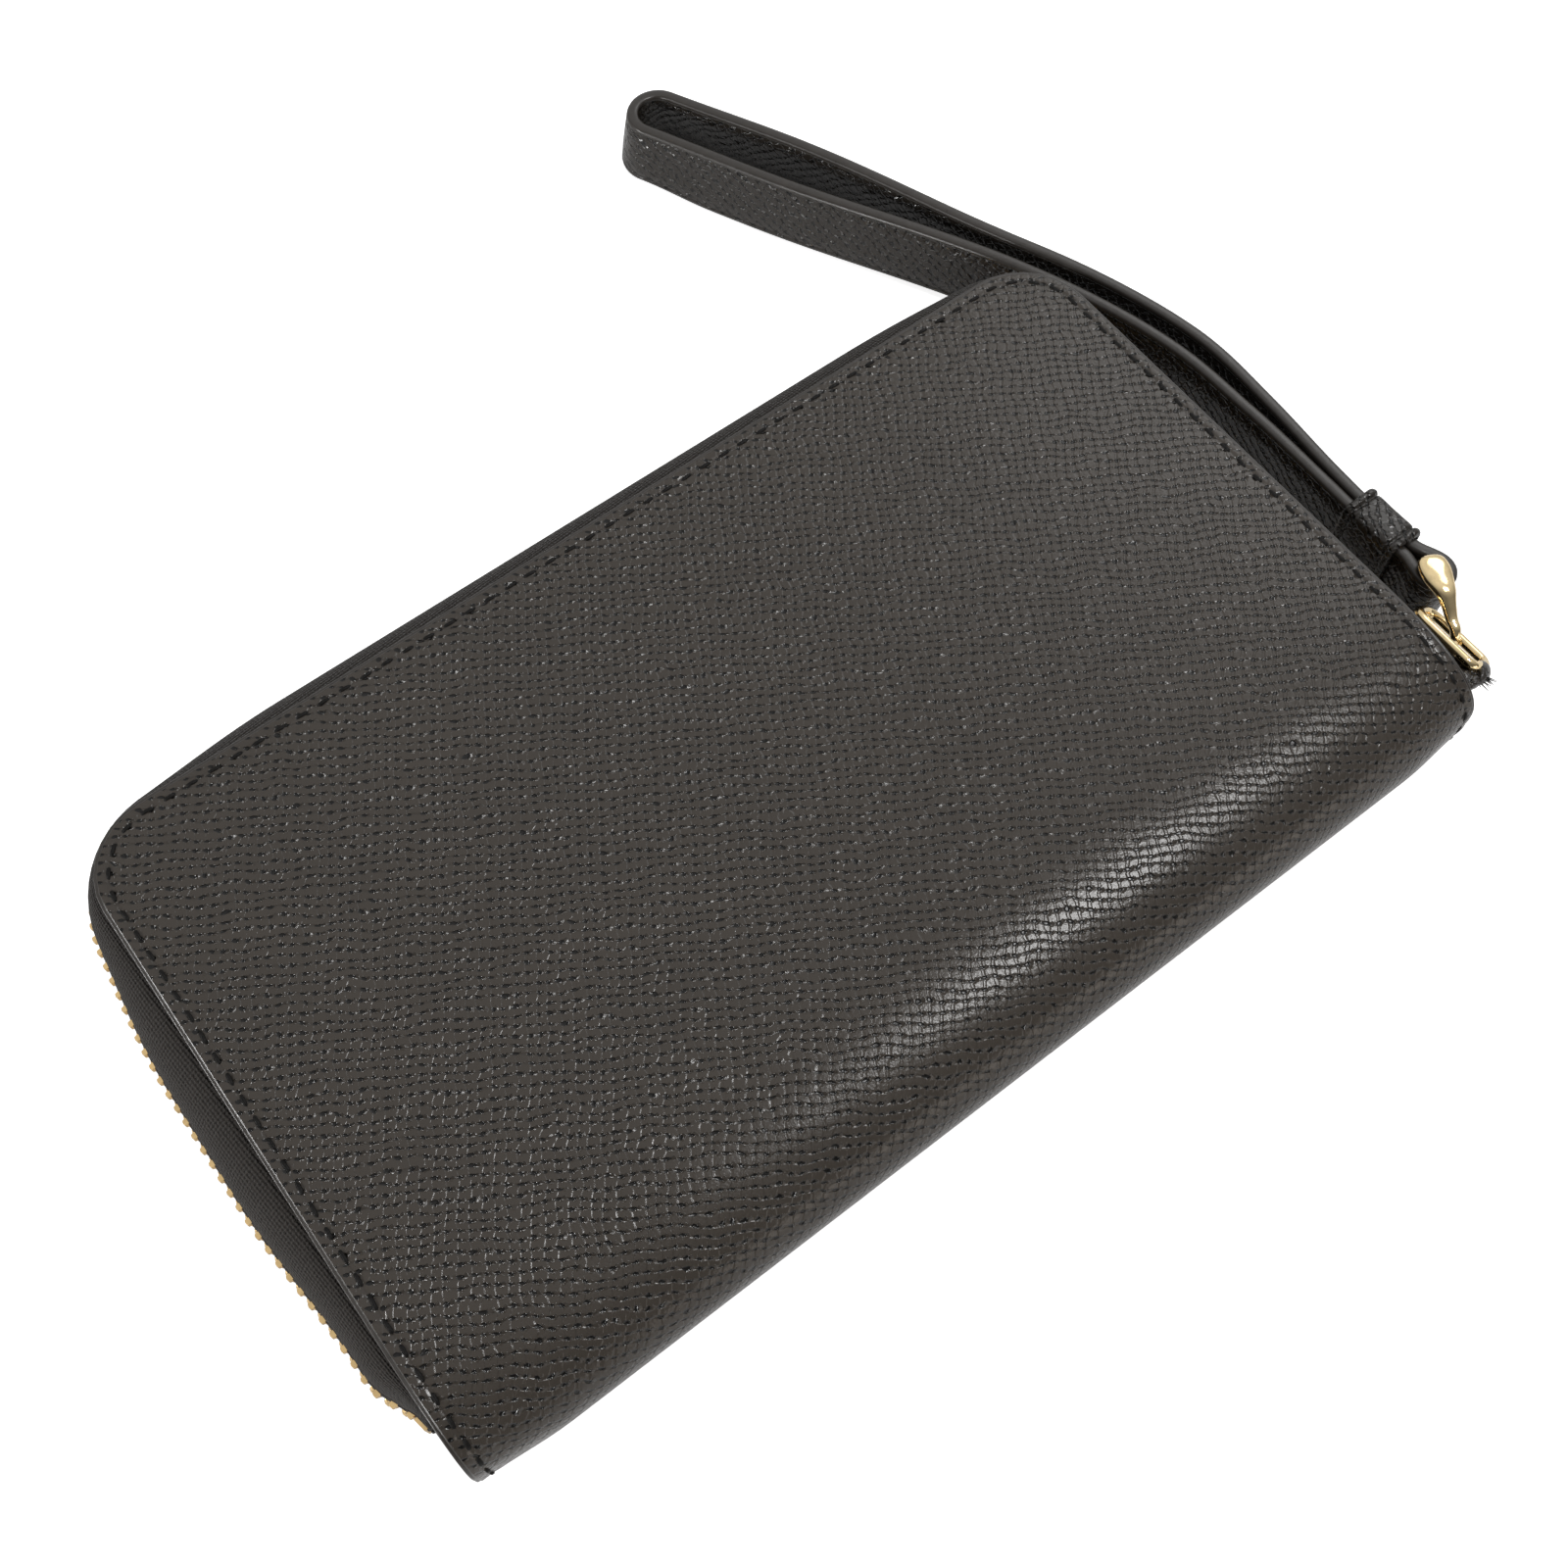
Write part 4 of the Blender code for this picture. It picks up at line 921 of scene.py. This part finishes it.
def link_stations():
    """(reach, height, width, thickness, sideways) round the link: bar, top, neck, tip bend, under leg."""
    upper = STRAP_LIFT + STRAP_WIDTH + 0.0006 + LINK_FLAT / 2
    lower = STRAP_LIFT - 0.0003 - LINK_LOWER_LEG / 2
    turn, tip, bar, aside = LINK_FLAT / 2, LINK_TIP_WIRE, LINK_REACH, LINK_ASIDE
    stations = [
        (bar, lower + 2 * turn, LINK_BAR, LINK_FLAT, 0),
        (bar, (lower + upper) / 2, LINK_BAR, LINK_FLAT, 0),
        (bar + 0.2 * turn, upper - 2 * turn, LINK_BAR, LINK_FLAT, 0),
        (bar + 0.9 * turn, upper - turn, 0.62 * LINK_SPOON, LINK_FLAT, 0.7 * aside),
        (bar + 0.6 * turn, upper - 0.15 * turn, 0.86 * LINK_SPOON, LINK_FLAT, aside),
        (bar - turn, upper + 0.1 * turn, LINK_SPOON, LINK_FLAT, aside),
        (0.66 * bar, upper + 0.1 * turn, 0.9 * LINK_SPOON, LINK_FLAT, 0.9 * aside),
        (0.44 * bar, upper, 0.68 * LINK_SPOON, LINK_FLAT, 0.65 * aside),
        (0.24 * bar, HOOK.z + 1.4 * LINK_TIP_BEND, 0.48 * LINK_SPOON, 0.8 * LINK_FLAT, 0.4 * aside),
    ]
    for angle, broad, share in ((90, 1.35, 0.2), (120, 1.2, 0), (150, 1.1, 0), (180, 1, 0), (210, 1, 0)):
        a = math.radians(angle)
        reach, z = LINK_TIP_BEND * math.cos(a), HOOK.z + LINK_TIP_BEND * math.sin(a)
        stations.append((reach, z, broad * tip, tip, share * aside))
    foot = bar - 0.0015 - STRAP_THICKNESS - 0.0003 - LINK_LOWER_LEG / 2
    stations += [
        (0.1 * foot - 0.5 * LINK_TIP_BEND, 0.5 * HOOK.z, tip, tip, 0),
        (0.7 * foot, lower + 1.2 * turn, LINK_LOWER_LEG, tip, 0),
        (foot, lower + 0.25 * turn, LINK_BAR, LINK_LOWER_LEG, 0),
        (1.3 * foot, lower, LINK_BAR, LINK_LOWER_LEG, 0),
        (bar - turn, lower, LINK_BAR, LINK_LOWER_LEG, 0),
        (bar - 0.2 * turn, lower + 0.7 * turn, LINK_BAR, LINK_FLAT, 0),
    ]
    return stations


def make_link():
    sides, refine = 20, 5
    stations = [Vector(station) for station in link_stations()]
    looped = stations[-2:] + stations + stations[:3]
    fine = smooth_curve(looped, refine * (len(looped) - 1))[2 * refine:][:refine * len(stations)]
    base = Vector((HOOK.x, HOOK.y, 0))
    path = [base + LINK_WAY * station[0] + UP * station[1] + LINK_SIDE * station[4] for station in fine]
    rows = []
    for index, point in enumerate(path):
        direction = (path[(index + 1) % len(path)] - path[index - 1]).normalized()
        width, height = fine[index][2], fine[index][3]
        rows.append(ellipse_loop(point, LINK_SIDE, direction.cross(LINK_SIDE), width, height, sides, 0.85))
    made = sweep("cast_link", rows, running_length(path, True), loop_widths(rows[0]), [GOLD], closed=True)
    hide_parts("strap_link")
    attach(made, "link")


TAB_STATIONS = (
    (-0.0078, -0.0019, 0.0004, 0.0042, 0.0018), (-0.0051, -0.0020, 0.0004, 0.0042, 0.0019),
    (-0.0026, -0.0022, 0.0002, 0.0042, 0.0022), (-0.0008, -0.0021, 0.0001, 0.0042, 0.0025),
    (0.0002, -0.0010, 0.0, 0.0040, 0.0024), (0.0006, 0.0002, 0.0, 0.0028, 0.0010),
)
FLAP_STATIONS = (
    (-0.0036, -0.0022, 0.0008, 0.0042, 0.0016), (-0.0032, 0.0010, 0.0009, 0.0040, 0.0014),
    (-0.0031, 0.0045, 0.0010, 0.0030, 0.0010), (-0.0028, 0.0085, 0.0012, 0.0008, 0.0006),
)


def make_tab():
    """Leather tab folded round the ring's bar, its cut end worn to loose fibres."""
    sides, count = 18, 30
    for name, stations, across in (
        ("ring_tab_leather", TAB_STATIONS, RING_AXIS), ("ring_tab_flap", FLAP_STATIONS, Vector((1, 0, 0))),
    ):
        fine = smooth_curve([Vector(station) for station in stations], count)
        path = [RING_BAR + Vector(station[:3]) for station in fine]
        rows = []
        for index, point in enumerate(path):
            direction = (path[min(index + 1, count)] - path[max(index - 1, 0)]).normalized()
            worn = 1 + 0.2 * noise.noise(point * 1100)
            width, height = fine[index][3] * worn, fine[index][4] * worn
            rows.append(ellipse_loop(point, across, direction.cross(across), width, height, sides, 0.8))
        made = sweep(name, rows, running_length(path), loop_widths(rows[0]), [STRAP_LEATHER])
        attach(made, "back")
        if across is RING_AXIS:
            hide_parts("ring_tab")
    dice = random.Random(7)
    points, faces = [], []
    for _ in range(FIBRES):
        root = RING_BAR + Vector((dice.uniform(-0.0022, -0.0004), dice.uniform(-0.0026, -0.0014), 0.0002))
        way = Vector((dice.uniform(-0.1, 0.6), dice.uniform(-1, -0.5), dice.uniform(-0.3, 0.2))).normalized()
        across = way.cross(UP).normalized()
        base = len(points)
        points += ellipse_loop(root, across, way.cross(across), FIBRE, FIBRE, 4)
        points.append(root + way * dice.uniform(0.0016, 0.0032))
        faces += [(base + side, base + (side + 1) % 4, base + 4) for side in range(4)]
        faces.append(tuple(range(base, base + 4)))
    fibres = turn_outward(new_object("tab_fibres", points, faces, [BLACK_THREAD]))
    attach(fibres, "back")


# Wrist strap

def strap_course():
    points = [BAR_PLACE] + [BAR_PLACE + Vector((x, y, 0)) for x, y in STRAP_COURSE]
    return smooth_curve(points, 160)


def course_at(course, lengths, stop):
    """Point and direction at a distance along the course."""
    after = min(max(1, bisect.bisect_left(lengths, stop)), len(lengths) - 1)
    share = (stop - lengths[after - 1]) / (lengths[after] - lengths[after - 1])
    near, far = course[max(after - 2, 0)], course[min(after + 1, len(course) - 1)]
    return course[after - 1].lerp(course[after], share), (far - near).normalized()


def strap_path():
    """Middle line of the closed band, each point's stop along the strap and share of the near strand."""
    course = strap_course()
    lengths = running_length(course)
    total = lengths[-1]
    keys = (
        (0, STRAP_EYE_HALF),
        (KEEPER_FROM_BAR - 0.0003, STRAND_HALF),
        (KEEPER_FROM_BAR + KEEPER_LENGTH + 0.0003, STRAND_HALF),
        (0.36 * total, STRAP_WAIST_HALF),
        (0.55 * total, STRAP_WAIST_HALF),
        (0.86 * total, STRAP_LOOP_HALF),
        (total, STRAP_TIP_HALF),
    )
    outer, inner = [], []
    for stop in lengths:
        point, way = course_at(course, lengths, stop)
        across = way.cross(UP) * ease(keys, stop)
        outer.append((point + across, stop, 0.0))
        inner.append((point - across, stop, 1.0))
    path = list(outer)
    for centre, stop, radius, first in (
        (course[-1], total, STRAP_TIP_HALF, outer[-1][0]), (course[0], 0.0, STRAP_EYE_HALF, inner[0][0]),
    ):
        start = (first - centre).normalized()
        forward = UP.cross(start)
        for index in range(1, 20):
            angle = math.pi * index / 20
            spoke = start * math.cos(angle) + forward * math.sin(angle)
            path.append((centre + spoke * radius, stop, index / 20))
        if stop:
            path += inner[::-1]
    return path, total


def band_profile(thickness, width):
    """Section of the strap: (outward, upward) points, with rounded edges and a crease near each edge."""
    half, crease, depth, soft = thickness / 2, 0.0011, 0.00013, 0.0007
    face = [(half, soft), (half, crease - 0.0002), (half - depth, crease), (half, crease + 0.0002)]
    face += [(half + 0.00006, width * 0.3), (half + 0.00008, width / 2), (half + 0.00006, width * 0.7)]
    face += [(half, width - crease - 0.0002), (half - depth, width - crease), (half, width - crease + 0.0002)]
    face += [(half, width - soft), (0.86 * half, width - 0.3 * soft)]
    face += [(0.5 * half, width - 0.05 * soft), (0, width)]
    lower = [(0.5 * half, 0.05 * soft), (0.86 * half, 0.3 * soft)]
    right = lower + face
    left = [(-a, b) for a, b in reversed(right[:-1])]
    return right + left + [(0, 0)]


def make_strap():
    path, total = strap_path()
    flare_keys = (
        (KEEPER_FROM_BAR + KEEPER_LENGTH + 0.0003, 0), (total / 2, STRAP_FLARE),
        (total - STRAP_TIP_RUN, STRAP_FLARE), (total, STRAP_TIP_FLARE),
    )
    raise_keys = ((total - STRAP_TIP_RUN, 0), (total, STRAP_TIP_RAISE))
    profile = band_profile(STRAP_THICKNESS, STRAP_WIDTH)
    rows = []
    for index, (point, stop, near) in enumerate(path):
        direction = (path[(index + 1) % len(path)][0] - path[index - 1][0]).normalized()
        side = direction.cross(UP)
        lift, out = near * ease(raise_keys, stop), ease(flare_keys, stop)
        low = point + UP * (STRAP_LIFT * (1 - stop / total) + lift) + side * out
        slant = UP * (1 - lift / STRAP_WIDTH) - side * (out / STRAP_WIDTH)
        rows.append([low + side * a + slant * b for a, b in profile])
    lengths = running_length([place[0] for place in path], closed=True)
    heights = [b for _, b in profile] + [profile[0][1]]
    painted = {number for number, (a, b) in enumerate(profile) if b < 0.0007 or b > STRAP_WIDTH - 0.0008}
    made = sweep(
        "strap_band", rows, lengths, heights, [STRAP_LEATHER, EDGE_PAINT], closed=True,
        slot_of=lambda side: 1 if side in painted else 0)
    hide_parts("wrist_strap")
    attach(made, "strap")


def rounded_outline(half_width, low, high, radius, steps):
    outline = []
    for x, z, start in (
        (half_width - radius, low + radius, 270), (half_width - radius, high - radius, 0),
        (-half_width + radius, high - radius, 90), (-half_width + radius, low + radius, 180),
    ):
        for index in range(steps + 1):
            angle = math.radians(start + 90 * index / steps)
            outline.append((x + radius * math.cos(angle), z + radius * math.sin(angle)))
    return outline


def make_keeper():
    """Leather keeper round both strands, with thicker turned edges and a sewn line inside each of them."""
    course = strap_course()
    lengths = running_length(course)
    middle = KEEPER_FROM_BAR + KEEPER_LENGTH / 2
    centre, way = course_at(course, lengths, middle)
    across = way.cross(UP)
    rise = STRAP_LIFT * (1 - middle / lengths[-1])
    room = STRAND_HALF + STRAP_THICKNESS / 2 + 0.0002
    half = KEEPER_LENGTH / 2
    turned_end = (
        (0.0002, 0.0), (0.0, 0.3), (0.0, 0.8), (0.0002, 1.12), (0.0006, 1.3), (0.0010, 1.28), (0.0013, 1.05),
        (0.0015, 0.62), (0.0017, 0.92), (0.0022, 1.02), (0.0032, 1.0),
    )
    stations = [(at - half, share) for at, share in turned_end] + [(0, 0.96)]
    stations += [(-at, share) for at, share in reversed(stations[:-1])]
    rows = []
    for at, share in stations:
        extra = KEEPER_PLY * share
        low, high = rise - 0.0002 - extra, rise + STRAP_WIDTH + 0.0002 + extra
        outline = rounded_outline(room + extra, low, high, 0.0005 + extra, 5)
        rows.append([centre + across * a + way * at + UP * z for a, z in outline])
    lengths_along = [0.0]
    for first, second in zip(stations, stations[1:]):
        step = math.hypot(second[0] - first[0], (second[1] - first[1]) * KEEPER_PLY)
        lengths_along.append(lengths_along[-1] + step)
    lengths_along.append(lengths_along[-1] + KEEPER_LENGTH)
    made = sweep("keeper_band", rows, lengths_along, loop_widths(rows[5]), [STRAP_LEATHER], closed=True)
    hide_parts("strap_keeper")
    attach(made, "strap")


# Carried-over metal and inside layers

def dress(node, material, bevel=0.0):
    piece = NODES[node]
    piece.data.materials.clear()
    piece.data.materials.append(material)
    if bevel:
        edge = piece.modifiers.new("soft_edges", "BEVEL")
        edge.width = bevel
        edge.segments = 3
        edge.limit_method = "ANGLE"
        edge.angle_limit = math.radians(30)
        edge.harden_normals = False
    return piece


def dress_nodes():
    for node in ("front_lining", "back_lining"):
        dress(node, LINING)
    for node in ("front_board", "back_board"):
        dress(node, BOARD)
    for node in ("card_pocket_1", "card_pocket_2", "card_pocket_3"):
        dress(node, POCKETS, 0.0003)
    dress("slip_pocket", LINING, 0.0003)
    dress("zip_slider", GOLD, 0.00018)
    dress("zip_pull", GOLD, 0.0005)
    for node in ("upper_top_stop", "lower_top_stop", "zip_end_stop"):
        dress(node, BRASS, 0.0002)


def make_pocket_stitches():
    """Sewn lines down both ends of the card pockets and across their foot, and round the slip pocket."""
    for name, node, body, sign in (
        ("card_pocket_stitches", "card_pocket_3", "back", 1),
        ("slip_pocket_stitches", "slip_pocket", "front", -1),
    ):
        low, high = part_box(node)
        level = high.z if sign > 0 else low.z
        margin = 0.0025
        top = high.y - margin
        line = [
            (low.x + margin, top), (low.x + margin, low.y + margin),
            (high.x - margin, low.y + margin), (high.x - margin, top),
        ]

        def place(spot, depth, level=level, sign=sign):
            return Vector((spot.x, spot.y, level - sign * depth))

        made = thread_stitches(name, spread(line, STITCH_PITCH, STITCH_PITCH / 2), place)
        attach(made, body)


# Stage, light and camera

FLOOR_GLOW = 0.75
FLOOR_MIRROR_GLOW = 0.05
WORLD_LIGHT = 0.25
BRIGHT_SIDE = (0.45, 0.55, 0.70)
DIM_SIDE_LIGHT = 0.15
BRIGHT_SIDE_LIGHT = 0.8


def make_stage():
    size, drop = 3.0, 0.0002
    corners = [(-size, -size, -drop), (size, -size, -drop), (size, size, -drop), (-size, size, -drop)]
    material, tree, shader = start_material("pale_floor")
    shader.inputs["Base Color"].default_value = (0.86, 0.86, 0.86, 1)
    shader.inputs["Roughness"].default_value = 0.9
    shader.inputs["Specular IOR Level"].default_value = 0.0
    glow = shader_node(tree, "Emission", {"Color": (1, 1, 1, 1)})
    path = shader_node(tree, "LightPath")
    mirrored = calculate(tree, "MAXIMUM", path.outputs["Is Glossy Ray"], path.outputs["Is Transmission Ray"])
    seen = calculate(tree, "MULTIPLY", path.outputs["Is Camera Ray"], FLOOR_GLOW)
    strength = calculate(tree, "MULTIPLY_ADD", mirrored, FLOOR_MIRROR_GLOW, seen)
    tree.links.new(strength, glow.inputs["Strength"])
    both = shader_node(tree, "AddShader", {0: shader.outputs[0], 1: glow.outputs[0]})
    tree.links.new(both.outputs[0], tree.nodes["Material Output"].inputs["Surface"])
    new_object("floor", corners, [(0, 1, 2, 3)], [material])


def make_world():
    world = bpy.data.worlds.new("studio")
    bpy.context.scene.world = world
    world.use_nodes = True
    tree = world.node_tree
    back = tree.nodes["Background"]
    back.inputs["Color"].default_value = (1.0, 1.0, 1.0, 1)
    path = shader_node(tree, "LightPath")
    seen = calculate(tree, "MAXIMUM", path.outputs["Is Camera Ray"], path.outputs["Is Transmission Ray"])
    way = shader_node(tree, "TexCoord").outputs["Generated"]
    product = shader_node(tree, "VectorMath", {0: way, 1: BRIGHT_SIDE}, operation="DOT_PRODUCT")
    facing = product.outputs["Value"]
    inputs = {"Value": facing, "From Min": 0.1, "From Max": 0.9}
    inputs |= {"To Min": DIM_SIDE_LIGHT - WORLD_LIGHT, "To Max": BRIGHT_SIDE_LIGHT - WORLD_LIGHT}
    studio = shader_node(tree, "MapRange", inputs).outputs["Result"]
    light = calculate(tree, "MULTIPLY_ADD", path.outputs["Is Glossy Ray"], studio, WORLD_LIGHT)
    tree.links.new(calculate(tree, "MAXIMUM", seen, light), back.inputs["Strength"])


def add_light(name, place, aim, size, power, colour=(1, 1, 1)):
    data = bpy.data.lights.new(name, "AREA")
    data.shape = "RECTANGLE"
    data.size, data.size_y = size
    data.energy = power
    data.color = colour
    lamp = bpy.data.objects.new(name, data)
    bpy.context.scene.collection.objects.link(lamp)
    lamp.location = place
    lamp.rotation_euler = (Vector(aim) - Vector(place)).to_track_quat("-Z", "Y").to_euler()


def make_lights():
    add_light("key_softbox", (0.314, -0.183, 0.793), (0, 0, 0), (0.2, 0.2), 3.1)
    add_light("right_softbox", (0.60, 0.25, 0.55), (0, 0, 0), (0.4, 0.4), 1.0)
    add_light("left_softbox", (-0.70, -0.15, 0.20), (0, 0, 0.01), (0.12, 0.12), 2.2)
    add_light("edge_strip", (-0.70, 0.30, 0.25), (-0.05, 0, 0.02), (0.10, 0.10), 2.4)
    add_light("front_fill", (0.20, -0.70, 0.12), (0, -0.04, 0.01), (0.50, 0.15), 0.6, (1, 0.92, 0.84))


def make_camera():
    data = bpy.data.cameras.new("camera")
    data.lens = CAMERA_LENS
    data.clip_start = 0.005
    camera = bpy.data.objects.new("camera", data)
    bpy.context.scene.collection.objects.link(camera)
    a, e, r = CAMERA_AZIMUTH, CAMERA_ELEVATION, CAMERA_ROLL
    back = Vector((math.sin(a) * math.cos(e), -math.cos(a) * math.cos(e), math.sin(e)))
    right = UP.cross(back).normalized()
    above = back.cross(right)
    turned = right * math.cos(r) + above * math.sin(r)
    above = above * math.cos(r) - right * math.sin(r)
    rotation = Matrix((turned, above, back)).transposed().to_4x4()
    camera.matrix_world = Matrix.Translation(CAMERA_PLACE) @ rotation
    bpy.context.scene.camera = camera


make_hide()
make_spine_lining()
make_cover_stitches()
make_tapes()
make_teeth()
make_ring()
make_link()
make_tab()
make_strap()
make_keeper()
dress_nodes()
make_pocket_stitches()
make_stage()
make_world()
make_lights()
make_camera()
bpy.context.scene.view_settings.view_transform = "Standard"
